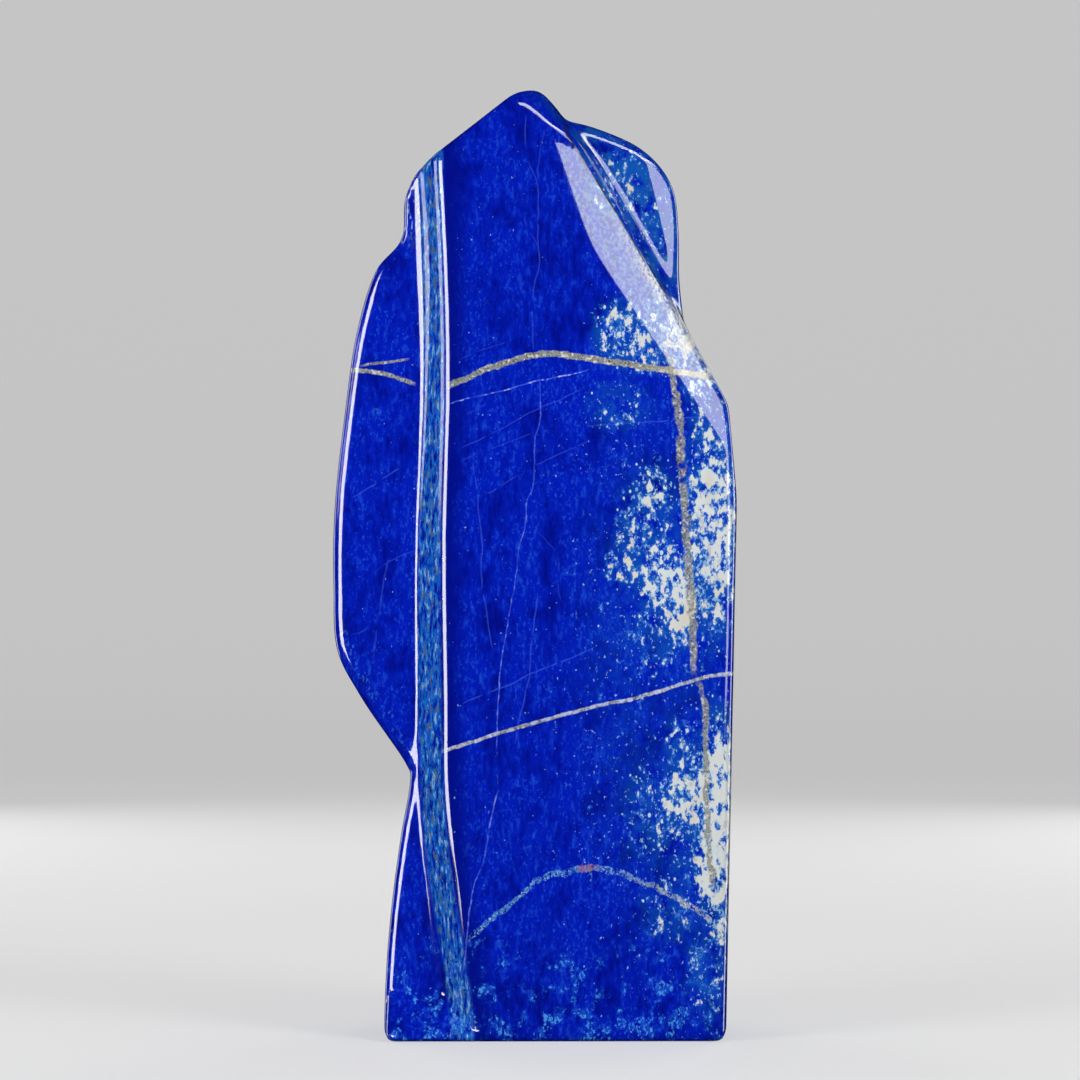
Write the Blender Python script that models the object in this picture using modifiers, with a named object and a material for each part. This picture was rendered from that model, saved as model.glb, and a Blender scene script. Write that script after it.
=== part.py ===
"""A lapis lazuli freeform: one tall polished stone that stands on a flat ground base.

Metres, +Z up. The origin is at the centre of the stone's box, on the surface that it stands on. +X is to the right
as the stone is displayed, and its broad polished face looks towards -Y.

The stone broke along layers that run parallel to its broad face, so it is modelled as five overlapping layers that
are joined, softened as polishing softens them, and cut flat below:
  the front plate, with the broad face, the strip down its left side and the long bevel at its upper right
  the wing, a rounded lobe that stands back to the left of the strip
  the foot, below the wing, and the toe, where it comes forward at the base
  the rear slab, whose rounded shoulder shows at the upper right
"""

import math

import bmesh
import bpy
from mathutils import Matrix, Vector

# The front plate's broad face, which leans back a little as it rises.
FRONT_Y = -0.057
FRONT_LEAN = 0.035

# A little is left below every layer, so that the last cut leaves one flat base with a rounded rim.
BASE_ALLOWANCE = 0.0015
BASE_FACE = ((0.000, 0.000, -BASE_ALLOWANCE), (0.000, 0.000, -1.000))

# Each layer's faces as (a point on the face, the direction it faces). The block is cut flat along each of them.
PLATE_FACES = {
    "broad face": ((0.000, FRONT_Y, 0.000), (0.010, -1.000, FRONT_LEAN)),
    "strip": ((-0.0437, -0.0520, 0.200), (-0.766, -0.643, 0.002)),
    "strip below": ((-0.0417, -0.0540, 0.140), (-0.766, -0.643, -0.074)),
    "left side": ((-0.0590, 0.0000, 0.200), (-1.000, 0.120, 0.000)),
    "upper bevel": ((0.0085, -0.0430, 0.426), (0.400, -0.900, 0.170)),
    "lower bevel": ((0.0420, -0.0450, 0.357), (0.340, -0.900, 0.245)),
    "diagonal side": ((0.0500, -0.0350, 0.376), (0.790, -0.400, 0.464)),
    "diagonal side, behind": ((0.0757, -0.0120, 0.328), (0.850, 0.160, 0.452)),
    "right side, front": ((0.0962, -0.0300, 0.245), (0.996, -0.080, -0.020)),
    "right side, back": ((0.0962, -0.0300, 0.245), (0.960, 0.280, -0.020)),
    "top left": ((-0.0113, -0.0380, 0.449), (-0.610, 0.120, 0.780)),
    "peak": ((-0.0020, -0.0380, 0.4530), (0.150, 0.100, 0.980)),
    "top right": ((0.0080, -0.0380, 0.4430), (0.800, -0.100, 0.600)),
    "back": ((0.0000, 0.0450, 0.000), (0.060, 1.000, 0.080)),
    "back corner": ((0.0800, 0.0300, 0.200), (0.780, 0.620, 0.060)),
    "base": BASE_FACE,
}

# Each layer's outline, seen from the front, as (x, z), and the faces that bound it in front and behind.
WING_OUTLINE = (
    (-0.050, 0.388), (-0.0645, 0.3785), (-0.0755, 0.3660), (-0.0847, 0.3377), (-0.0915, 0.293), (-0.0957, 0.251),
    (-0.0962, 0.215), (-0.0943, 0.184), (-0.084, 0.1635), (-0.0640, 0.1345), (-0.046, 0.108), (-0.020, 0.250),
)
WING_FACES = {
    "face": ((-0.0800, -0.0350, 0.250), (-0.050, -1.000, 0.030)),
    "back": ((-0.0900, 0.0220, 0.250), (-0.300, 0.950, 0.050)),
}
FOOT_OUTLINE = (
    (-0.050, 0.145), (-0.0570, 0.124), (-0.0634, 0.098), (-0.0675, 0.0694), (-0.0704, 0.0407), (-0.0718, 0.010),
    (-0.0716, -0.020), (-0.0716, -0.040), (-0.0100, -0.040), (-0.0100, 0.120),
)
FOOT_FACES = {
    "face": ((-0.0550, -0.0335, 0.125), (-0.080, -1.000, 0.010)),
    "back left corner": ((-0.0560, 0.0420, 0.000), (-0.680, 0.730, 0.060)),
    "back": ((0.0000, 0.0400, 0.000), (0.000, 1.000, 0.000)),
    "base": BASE_FACE,
}
TOE_OUTLINE = (
    (-0.0640, 0.080), (-0.0692, 0.045), (-0.0712, 0.010), (-0.0710, -0.020), (-0.0710, -0.040), (-0.0120, -0.040),
    (-0.0120, 0.080),
)
TOE_FACES = {
    "face": ((-0.0550, -0.0340, 0.060), (-0.080, -1.000, 0.500)),
    "right side": ((-0.0320, -0.0640, 0.000), (0.700, -0.700, 0.100)),
    "back": ((-0.0600, 0.0000, 0.000), (0.000, 1.000, 0.000)),
    "base": BASE_FACE,
}
REAR_OUTLINE = (
    (-0.058, -0.040), (-0.058, -0.020), (-0.056, 0.060), (-0.0545, 0.131), (-0.059, 0.250), (-0.0618, 0.360),
    (-0.0622, 0.398), (-0.0585, 0.408), (-0.051, 0.4165), (-0.040, 0.4235), (-0.020, 0.434), (0.000, 0.4385),
    (0.0195, 0.4368), (0.0358, 0.4318), (0.0497, 0.4252), (0.0600, 0.4160), (0.0665, 0.4045), (0.0688, 0.386),
    (0.0692, 0.360), (0.0725, 0.330), (0.078, 0.260), (0.080, 0.120), (0.078, -0.020), (0.078, -0.040),
)
REAR_FACES = {
    "shoulder face": ((0.0400, -0.0270, 0.400), (0.060, -1.000, 0.060)),
    "front, below": ((0.0000, -0.0270, 0.300), (-0.080, -1.000, 0.000)),
    "back": ((0.0000, 0.0570, 0.000), (0.020, 1.000, 0.025)),
    "back above": ((0.0000, 0.0480, 0.260), (-0.060, 1.000, 0.150)),
    "back, lower right": ((0.0450, 0.0550, 0.080), (0.230, 0.970, -0.060)),
    "back left corner": ((-0.0500, 0.0420, 0.200), (-0.720, 0.690, 0.050)),
    "back right corner": ((0.0700, 0.0400, 0.200), (0.780, 0.620, 0.060)),
    "base": BASE_FACE,
}

# Rounding and fineness.
PLATE_ROUND = 0.0050
SLAB_ROUND = 0.0070
FOOT_ROUND = 0.0045
ROUND_STEPS = 3
ROUND_ANGLE = 0.30
GRAIN = 0.0030
POLISH_STROKES = 12
POLISH_FACTOR = 0.5
KEPT_SHARE = 0.098

# Steps to each span of a smooth outline.
OUTLINE_STEPS = 6

# The block that every layer is cut from, and the cutter below the base.
BLOCK_LOW = Vector((-0.110, -0.080, -0.030))
BLOCK_HIGH = Vector((0.110, 0.080, 0.470))
CUTTER_DEPTH = 0.060

LAPIS_BLUE = (0.002, 0.020, 0.450, 1.0)
POLISHED_ROUGHNESS = 0.08


def empty_scene():
    for obj in list(bpy.data.objects):
        bpy.data.objects.remove(obj, do_unlink=True)


def new_collection(name):
    collection = bpy.data.collections.new(name)
    bpy.context.scene.collection.children.link(collection)
    return collection


def add_object(name, mesh, collection):
    obj = bpy.data.objects.new(name, mesh)
    collection.objects.link(obj)
    return obj


def hide_as_helper(obj):
    obj.hide_render = True
    obj.display_type = "WIRE"


def box_mesh(name, low, high):
    """A closed box between two corners."""
    mesh = bpy.data.meshes.new(name)
    bm = bmesh.new()
    bmesh.ops.create_cube(bm, size=1.0)
    bmesh.ops.transform(bm, matrix=Matrix.Diagonal((*(high - low), 1.0)), verts=bm.verts)
    bmesh.ops.translate(bm, vec=(low + high) / 2, verts=bm.verts)
    bm.to_mesh(mesh)
    bm.free()
    return mesh


def grind(mesh, faces):
    """Takes away what lies outside each face, and closes the cut with one flat face."""
    bm = bmesh.new()
    bm.from_mesh(mesh)
    for point, direction in faces.values():
        everything = bm.verts[:] + bm.edges[:] + bm.faces[:]
        cut = bmesh.ops.bisect_plane(
            bm, geom=everything, plane_co=point, plane_no=Vector(direction).normalized(), clear_outer=True
        )
        rim = [item for item in cut["geom_cut"] if isinstance(item, bmesh.types.BMEdge)]
        bmesh.ops.edgeloop_fill(bm, edges=rim)
    bmesh.ops.recalc_face_normals(bm, faces=bm.faces)
    bm.to_mesh(mesh)
    bm.free()


def round_edges(obj, width):
    bevel = obj.modifiers.new("Rounded edges", "BEVEL")
    bevel.width = width
    bevel.segments = ROUND_STEPS
    bevel.limit_method = "ANGLE"
    bevel.angle_limit = ROUND_ANGLE


def plate_layer(name, faces, collection):
    """A block cut flat on every side."""
    mesh = box_mesh(name, BLOCK_LOW, BLOCK_HIGH)
    grind(mesh, faces)
    layer = add_object(name, mesh, collection)
    round_edges(layer, PLATE_ROUND)
    return layer


def smooth_loop(points, steps):
    """A closed centripetal Catmull-Rom curve through the points, with this many steps to each span."""
    points = [Vector(point) for point in points]
    count = len(points)
    loop = []
    for index in range(count):
        a, b, c, d = (points[(index + offset) % count] for offset in (-1, 0, 1, 2))
        before, across, after = (math.sqrt((end - start).length) for start, end in ((a, b), (b, c), (c, d)))
        leave = (b - a) * across / before - (c - a) * across / (before + across) + (c - b)
        arrive = (c - b) - (d - b) * across / (across + after) + (d - c) * across / after
        for step in range(steps):
            t = step / steps
            loop.append(
                b * (2 * t**3 - 3 * t**2 + 1)
                + leave * (t**3 - 2 * t**2 + t)
                + c * (3 * t**2 - 2 * t**3)
                + arrive * (t**3 - t**2)
            )
    return loop


def outline_layer(name, outline, faces, rounding, collection):
    """A slab with a smooth outline, as thick as the block, cut flat in front and behind."""
    curve = bpy.data.curves.new(name, "CURVE")
    curve.dimensions = "2D"
    curve.fill_mode = "BOTH"
    curve.extrude = (BLOCK_HIGH.y - BLOCK_LOW.y) / 2
    corners = smooth_loop(outline, OUTLINE_STEPS)
    spline = curve.splines.new("POLY")
    spline.points.add(len(corners) - 1)
    for point, corner in zip(spline.points, corners):
        point.co = (*corner, 0.0, 1.0)
    spline.use_cyclic_u = True
    guide = add_object(name + " outline", curve, collection)
    guide.rotation_euler.x = math.pi / 2
    bpy.context.view_layer.update()
    evaluated = guide.evaluated_get(bpy.context.evaluated_depsgraph_get())
    mesh = bpy.data.meshes.new_from_object(evaluated)
    mesh.transform(guide.matrix_world)
    bpy.data.objects.remove(guide, do_unlink=True)
    bm = bmesh.new()
    bm.from_mesh(mesh)
    bmesh.ops.remove_doubles(bm, verts=bm.verts, dist=0.00001)
    bm.to_mesh(mesh)
    bm.free()
    grind(mesh, faces)
    layer = add_object(name, mesh, collection)
    round_edges(layer, rounding)
    return layer


def lapis_material():
    material = bpy.data.materials.new("Polished lapis")
    material.use_nodes = True
    shader = material.node_tree.nodes["Principled BSDF"]
    shader.inputs["Base Color"].default_value = LAPIS_BLUE
    shader.inputs["Roughness"].default_value = POLISHED_ROUGHNESS
    shader.inputs["Metallic"].default_value = 0.0
    return material


def boolean(obj, other, operation, name):
    modifier = obj.modifiers.new(name, "BOOLEAN")
    modifier.operation = operation
    modifier.object = other
    modifier.solver = "EXACT"


def cutter_below_base(collection):
    """A slab whose top is where the stone is cut flat."""
    low = Vector((2 * BLOCK_LOW.x, 2 * BLOCK_LOW.y, -CUTTER_DEPTH))
    high = Vector((2 * BLOCK_HIGH.x, 2 * BLOCK_HIGH.y, 0.0))
    cutter = add_object("Base cutter", box_mesh("Base cutter", low, high), collection)
    hide_as_helper(cutter)
    return cutter


def centre_on_origin(obj):
    """Moves the mesh so that its box is centred over the origin and stands on z = 0."""
    corners = [vertex.co for vertex in obj.data.vertices]
    low = Vector(min(corner[axis] for corner in corners) for axis in range(3))
    high = Vector(max(corner[axis] for corner in corners) for axis in range(3))
    obj.data.transform(Matrix.Translation((-(low.x + high.x) / 2, -(low.y + high.y) / 2, -low.z)))


def build():
    empty_scene()
    stone_parts = new_collection("Lapis freeform")
    helpers = new_collection("Layers and cutters")

    plate = plate_layer("Front plate", PLATE_FACES, helpers)
    wing = outline_layer("Wing", WING_OUTLINE, WING_FACES, SLAB_ROUND, helpers)
    foot = outline_layer("Foot", FOOT_OUTLINE, FOOT_FACES, FOOT_ROUND, helpers)
    toe = outline_layer("Toe", TOE_OUTLINE, TOE_FACES, FOOT_ROUND, helpers)
    rear = outline_layer("Rear slab", REAR_OUTLINE, REAR_FACES, SLAB_ROUND, helpers)
    for layer in (plate, wing, foot, toe, rear):
        hide_as_helper(layer)
    base_cutter = cutter_below_base(helpers)

    rough = add_object("Rough stone", plate.data.copy(), helpers)
    round_edges(rough, PLATE_ROUND)
    for layer in (wing, foot, toe, rear):
        boolean(rough, layer, "UNION", "Join " + layer.name)

    remesh = rough.modifiers.new("Even grain", "REMESH")
    remesh.mode = "VOXEL"
    remesh.voxel_size = GRAIN
    polish = rough.modifiers.new("Polish", "SMOOTH")
    polish.factor = POLISH_FACTOR
    polish.iterations = POLISH_STROKES
    fewer = rough.modifiers.new("Fewer faces", "DECIMATE")
    fewer.ratio = KEPT_SHARE
    boolean(rough, base_cutter, "DIFFERENCE", "Flatten the base")
    bpy.context.view_layer.update()

    evaluated = rough.evaluated_get(bpy.context.evaluated_depsgraph_get())
    mesh = bpy.data.meshes.new_from_object(evaluated)
    mesh.name = "stone"
    hide_as_helper(rough)
    stone = add_object("stone", mesh, stone_parts)
    centre_on_origin(stone)
    stone.data.materials.clear()
    stone.data.materials.append(lapis_material())
    stone.data.shade_smooth()
    return stone


build()
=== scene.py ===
# %% [markdown]
# # A polished lapis lazuli freeform
#
# The real object is one lump of lapis lazuli. It split along the layers of the rock, was ground flat
# where it split, and was then polished by hand until every edge was round. A freeform like this has no
# parts: its looks are in its clean edges, where the studio lights draw thin white lines, and in what the
# polish uncovers, which is blue lazurite, white calcite, grey veins with pyrite, and fine healed cracks.
#
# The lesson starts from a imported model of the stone, which has the right size but only a few thousand
# faces. It makes a fine stone in the same place, gives it one material that is built from nodes, and sets
# it in a small studio.

import bmesh
import bpy
import numpy as np
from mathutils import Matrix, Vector


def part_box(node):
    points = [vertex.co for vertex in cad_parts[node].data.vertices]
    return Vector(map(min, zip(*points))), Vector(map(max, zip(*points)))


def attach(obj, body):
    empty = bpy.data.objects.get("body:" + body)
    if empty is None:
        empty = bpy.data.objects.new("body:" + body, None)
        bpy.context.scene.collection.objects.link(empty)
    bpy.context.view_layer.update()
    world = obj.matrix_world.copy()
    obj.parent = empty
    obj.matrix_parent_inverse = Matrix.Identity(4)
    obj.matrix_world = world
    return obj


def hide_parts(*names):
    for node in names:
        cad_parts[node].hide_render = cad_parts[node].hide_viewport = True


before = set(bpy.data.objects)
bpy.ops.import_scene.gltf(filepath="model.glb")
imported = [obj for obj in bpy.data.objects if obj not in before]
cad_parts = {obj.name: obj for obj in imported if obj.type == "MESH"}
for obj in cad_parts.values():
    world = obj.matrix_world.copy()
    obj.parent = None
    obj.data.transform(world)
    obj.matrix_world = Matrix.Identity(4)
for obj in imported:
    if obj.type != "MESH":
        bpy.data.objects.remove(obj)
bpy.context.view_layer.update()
stone_low, stone_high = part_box("stone")
print("The stone is", [round(1000 * side, 1) for side in stone_high - stone_low], "mm, and stands on z = 0")

# %% [markdown]
# ## Where the stone was drawn
#
# The grinder's sizes below were measured from a point under the peak of the front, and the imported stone
# is centred on its own box. Two reaches of the drawing, compared with the frame, give the small step from
# one to the other.

# %% Step from the drawing to the frame
DRAWN_RIGHT = 0.0961
DRAWN_BACK = 0.0576
drawing_step = np.array([stone_high.x - DRAWN_RIGHT, stone_high.y - DRAWN_BACK, 0.0])
print("From the drawing to the frame:", np.round(1000 * drawing_step, 2), "mm")

# %% [markdown]
# ## Ground faces
#
# A flat lap wheel takes away everything beyond a plane, so a ground face is just a point on it and the
# way it looks. The signed distance to the plane is below zero inside the stone. Many faces together, each
# taking something away, leave the place where the largest of their distances is still below zero.
#
# A sharp edge never survives polishing. So the largest distance isn't taken with a plain maximum, but
# with one that turns smoothly where two distances are alike. Its reach is how far the edge is rounded on
# each side. The slope of the distance comes along with it, because it is the exact normal of the finished
# surface.

# %% One ground face, and the edge between two
def ground_face(points, place, direction):
    """The distance to one flat face, below zero inside, and its slope."""
    slope = np.array(direction) / np.linalg.norm(direction)
    return (points - np.array(place)) @ slope, np.broadcast_to(slope, points.shape)


def meet(first, second, reach):
    """What lies inside both forms, with the edge between them rounded over the reach on each side."""
    first_depth, first_slope = first
    second_depth, second_slope = second
    width = np.maximum(reach * np.linalg.norm(first_slope - second_slope, axis=1), 1e-9)
    near = np.clip(1 - np.abs(first_depth - second_depth) / width, 0, 1)
    depth = np.maximum(first_depth, second_depth) + near**3 * width / 6
    share = np.where(first_depth > second_depth, 1 - near**2 / 2, near**2 / 2)[:, None]
    return depth, first_slope * share + second_slope * (1 - share)


def join(first, second, reach):
    """Both forms together, with the corner between them filled over the reach on each side."""
    depth, slope = meet((-first[0], -first[1]), (-second[0], -second[1]), reach)
    return -depth, -slope


TRIAL_REACH = 0.005
tip = np.zeros((1, 3))
trial = meet(ground_face(tip, (0, 0, 0), (1, 0, 0)), ground_face(tip, (0, 0, 0), (0, 1, 0)), TRIAL_REACH)
print("A square edge rounded over 5 mm loses", round(1000 * trial[0][0], 2), "mm at its tip")

# %% [markdown]
# The front plate carries the broad face. Each of its flat faces is written as a point on the face and the
# direction in which it looks. Where a number follows these, it is how far that face's own edges are
# rounded. The strip and the bevel, which aren't quite flat, come after it.

# %% The front plate
PLATE_EDGE = 0.0062
TOP_EDGE = 0.0125
PLATE_FACES = {
    "broad face": ((0.000, -0.0570, 0.000), (0.010, -1.000, 0.035)),
    "left side": ((-0.0545, 0.0000, 0.200), (-1.000, 0.120, 0.000)),
    "diagonal side": ((0.0500, -0.0350, 0.376), (0.790, -0.400, 0.464)),
    "diagonal side, behind": ((0.0737, -0.0120, 0.328), (0.850, 0.160, 0.452)),
    "right side, above": ((0.0957, -0.0300, 0.2605), (0.993, -0.020, 0.085)),
    "right side, front": ((0.0962, -0.0300, 0.245), (0.996, -0.080, -0.020)),
    "right side, back": ((0.0962, -0.0300, 0.245), (0.960, 0.280, -0.020)),
    "top left": ((-0.0113, -0.0380, 0.449), (-0.610, 0.120, 0.780)),
    "peak": ((-0.0020, -0.0380, 0.4530), (0.150, 0.100, 0.980), TOP_EDGE),
    "top right": ((0.0085, -0.0380, 0.4425), (0.800, -0.100, 0.600)),
    "top right corner": ((0.0055, -0.0415, 0.4374), (0.500, -0.600, 0.550), 0.0080),
    "back": ((0.0000, 0.0450, 0.000), (0.060, 1.000, 0.080)),
    "back corner": ((0.0800, 0.0300, 0.200), (0.780, 0.620, 0.060)),
}


def grind(points, faces, reach, start=None):
    """A form cut by each of the faces in turn."""
    form = start
    for place, direction, *own_reach in faces.values():
        face = ground_face(points, place, direction)
        form = face if form is None else meet(form, face, own_reach[0] if own_reach else reach)
    return form


print("The front plate has", len(PLATE_FACES), "ground faces")

# %% [markdown]
# The strip down the left of the plate was ground along a seam in the rock, so it isn't straight. Its
# ridge with the broad face wanders a few millimetres to and fro. A wandering face is a flat one whose
# place slides with the height: the drawn ridge is read from a table that is smoothed first, and the drift
# of the ridge tilts the slope with it.

# %% The strip and its wandering ridge
STRIP_FACING = (-0.682, -0.731)
STRIP_EDGE = 0.0052
STRIP_RIDGE = (
    # height, and how far to the right
    (-0.020, -0.0240), (0.0000, -0.0260), (0.0245, -0.0300), (0.0483, -0.0345), (0.0735, -0.0370),
    (0.0876, -0.0392), (0.1020, -0.0407), (0.1160, -0.0421), (0.1300, -0.0426), (0.1580, -0.0426),
    (0.1870, -0.0431), (0.2150, -0.0436), (0.2440, -0.0436), (0.2580, -0.0432), (0.2720, -0.0427),
    (0.2865, -0.0423), (0.3005, -0.0418), (0.3290, -0.0418), (0.3500, -0.0423), (0.3720, -0.0432),
    (0.3930, -0.0442), (0.4145, -0.0456), (0.4400, -0.0475), (0.4700, -0.0500),
)
RIDGE_LINE = 0.0008
TABLE_STEP = 0.002
TABLE_BLUR = 3.0
BRUSH_REACH = 12


def drawn_ridge(heights):
    """How far to the right the ridge lies at each height, and its drift."""
    marks = np.array(STRIP_RIDGE)
    table = np.arange(marks[0, 0], marks[-1, 0], TABLE_STEP)
    reach = np.arange(-BRUSH_REACH, BRUSH_REACH + 1)
    brush = np.exp(-0.5 * (reach / TABLE_BLUR) ** 2)
    padded = np.pad(np.interp(table, marks[:, 0], marks[:, 1]), BRUSH_REACH, mode="edge")
    places = np.convolve(padded, brush / brush.sum(), mode="valid")
    return np.interp(heights, table, places), np.interp(heights, table, np.gradient(places, TABLE_STEP))


def strip_face(points):
    """The distance to the strip's face, below zero inside, and its slope."""
    across, forward = STRIP_FACING
    place, direction = PLATE_FACES["broad face"]
    lean = direction[2]
    ridge, drift = drawn_ridge(points[:, 2])
    broad = place[1] + lean * points[:, 2]
    depth = across * (points[:, 0] - ridge + RIDGE_LINE) + forward * (points[:, 1] - broad)
    slope = np.zeros(points.shape)
    slope[:, 0] = across
    slope[:, 1] = forward
    slope[:, 2] = -across * drift - forward * lean
    return depth, slope


print("The ridge wanders over", round(1000 * np.ptp(drawn_ridge(np.linspace(0.1, 0.42, 50))[0]), 1), "mm")

# %% [markdown]
# The long bevel at the upper right is two faces in one. It was ground in two strokes that cross in the
# middle, so it is hollow there by a hair, and the line where it meets the broad face bends outwards. Only
# what lies beyond both faces was taken away: the two are joined, and not met. A third face, which looks
# down, ends the strokes at the top.

# %% The bevel, and the front plate
BEVEL_HOLLOW = 0.018
BEVEL_EDGE = 0.0045
UPPER_STROKE = ((0.0080, -0.0420, 0.4259), (0.384, -0.904, 0.161))
LOWER_STROKE = ((0.0335, -0.0440, 0.3636), (0.377, -0.887, 0.281))
STROKES_BEGIN = ((0.0085, -0.0420, 0.4290), (-0.200, -0.600, -0.770))
BEGIN_HOLLOW = 0.0015


def front_plate(points):
    """The slab with the broad face, less its strip and its bevel."""
    bevel = join(ground_face(points, *UPPER_STROKE), ground_face(points, *LOWER_STROKE), BEVEL_HOLLOW)
    bevel = join(bevel, ground_face(points, *STROKES_BEGIN), BEGIN_HOLLOW)
    plate = meet(grind(points, PLATE_FACES, PLATE_EDGE), strip_face(points), STRIP_EDGE)
    return meet(plate, bevel, BEVEL_EDGE)


strokes = [np.array(direction) / np.linalg.norm(direction) for _, direction in (UPPER_STROKE, LOWER_STROKE)]
print("The two strokes cross at", round(np.degrees(np.arccos(strokes[0] @ strokes[1])), 1), "degrees")

# %% [markdown]
# ## Lobes with a drawn outline
#
# The wing at the left, the foot and toe below it and the rear slab at the right aren't bounded by flats.
# Their edges were drawn, so each has an outline through a few points, seen from the front. The
# curve through them is of the kind that camera paths often have: its direction at a point follows from
# the neighbours on both sides, so the points alone are enough to draw it.

# %% A smooth outline
OUTLINE_STEPS = 24


def smooth_loop(points):
    """A closed curve through the points, finely stepped."""
    points = np.array(points)
    steps = np.linspace(0, 1, OUTLINE_STEPS, endpoint=False)[:, None]
    loop = []
    for index in range(len(points)):
        a, b, c, d = (points[(index + offset) % len(points)] for offset in (-1, 0, 1, 2))
        stretches = ((a, b), (b, c), (c, d))
        before, across, after = (np.sqrt(np.linalg.norm(end - start)) for start, end in stretches)
        leave = (b - a) * across / before - (c - a) * across / (before + across) + (c - b)
        arrive = (c - b) - (d - b) * across / (across + after) + (d - c) * across / after
        loop.append(
            b * (2 * steps**3 - 3 * steps**2 + 1)
            + leave * (steps**3 - 2 * steps**2 + steps)
            + c * (3 * steps**2 - 2 * steps**3)
            + arrive * (steps**3 - steps**2)
        )
    return np.concatenate(loop)


print("Every stretch of an outline gets", OUTLINE_STEPS, "steps")

# %% [markdown]
# The distance to a drawn curve has no formula. It is measured once on a grid of points in the plane of
# the outline, and read from there with a cubic filter, which also gives a slope without steps.

# %% Distance to an outline
GRID_STEP = 0.0015
GRID_LOW = np.array([-0.120, -0.045])
GRID_COUNT = (160, 345)


def outline_grid(outline):
    """Signed distances from every grid point to the outline, below zero inside it."""
    loop = smooth_loop(outline)
    x = GRID_LOW[0] + GRID_STEP * np.arange(GRID_COUNT[0])[:, None]
    z = GRID_LOW[1] + GRID_STEP * np.arange(GRID_COUNT[1])[None, :]
    nearest = np.full(GRID_COUNT, 1.0)
    inside = np.zeros(GRID_COUNT, bool)
    for start, end in zip(loop, np.roll(loop, -1, axis=0)):
        along = end - start
        share = np.clip(((x - start[0]) * along[0] + (z - start[1]) * along[1]) / (along @ along), 0, 1)
        away_x = x - start[0] - share * along[0]
        away_z = z - start[1] - share * along[1]
        nearest = np.minimum(nearest, away_x**2 + away_z**2)
        if along[1] != 0:
            passes = (start[1] > z) != (end[1] > z)
            inside ^= passes & (x < start[0] + along[0] * (z - start[1]) / along[1])
    return np.sqrt(nearest) * np.where(inside, -1, 1)


def outline_form(grid, points):
    """The distance to an outline and its slope, the same at every depth."""
    where = (points[:, [0, 2]] - GRID_LOW) / GRID_STEP
    cell = np.clip(np.floor(where).astype(int), 1, np.array(GRID_COUNT) - 3)
    f = np.clip(where - cell, 0, 1)
    weights = np.stack([(1 - f) ** 3, 3 * f**3 - 6 * f**2 + 4, -3 * f**3 + 3 * f**2 + 3 * f + 1, f**3]) / 6
    slopes = np.stack([-((1 - f) ** 2), 3 * f**2 - 4 * f, -3 * f**2 + 2 * f + 1, f**2]) / 2
    depth = np.zeros(len(points))
    slope = np.zeros(points.shape)
    for i in range(4):
        for j in range(4):
            value = grid[cell[:, 0] + i - 1, cell[:, 1] + j - 1]
            depth += value * weights[i, :, 0] * weights[j, :, 1]
            slope[:, 0] += value * slopes[i, :, 0] * weights[j, :, 1] / GRID_STEP
            slope[:, 2] += value * weights[i, :, 0] * slopes[j, :, 1] / GRID_STEP
    return depth, slope


print("Outlines are measured every", 1000 * GRID_STEP, "mm")

# %% [markdown]
# The wing, the foot and the rear slab stand back from the front plate, and the toe comes forward under
# the strip. An outline says where each ends, seen from the front, and a few ground faces say how thick it
# is. The edge is how far its own edges are rounded, and the corner is how far the hollow is filled where
# it meets the plate. Both are given as heights and reaches, because the felt went wider into some hollows
# than into others.

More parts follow.
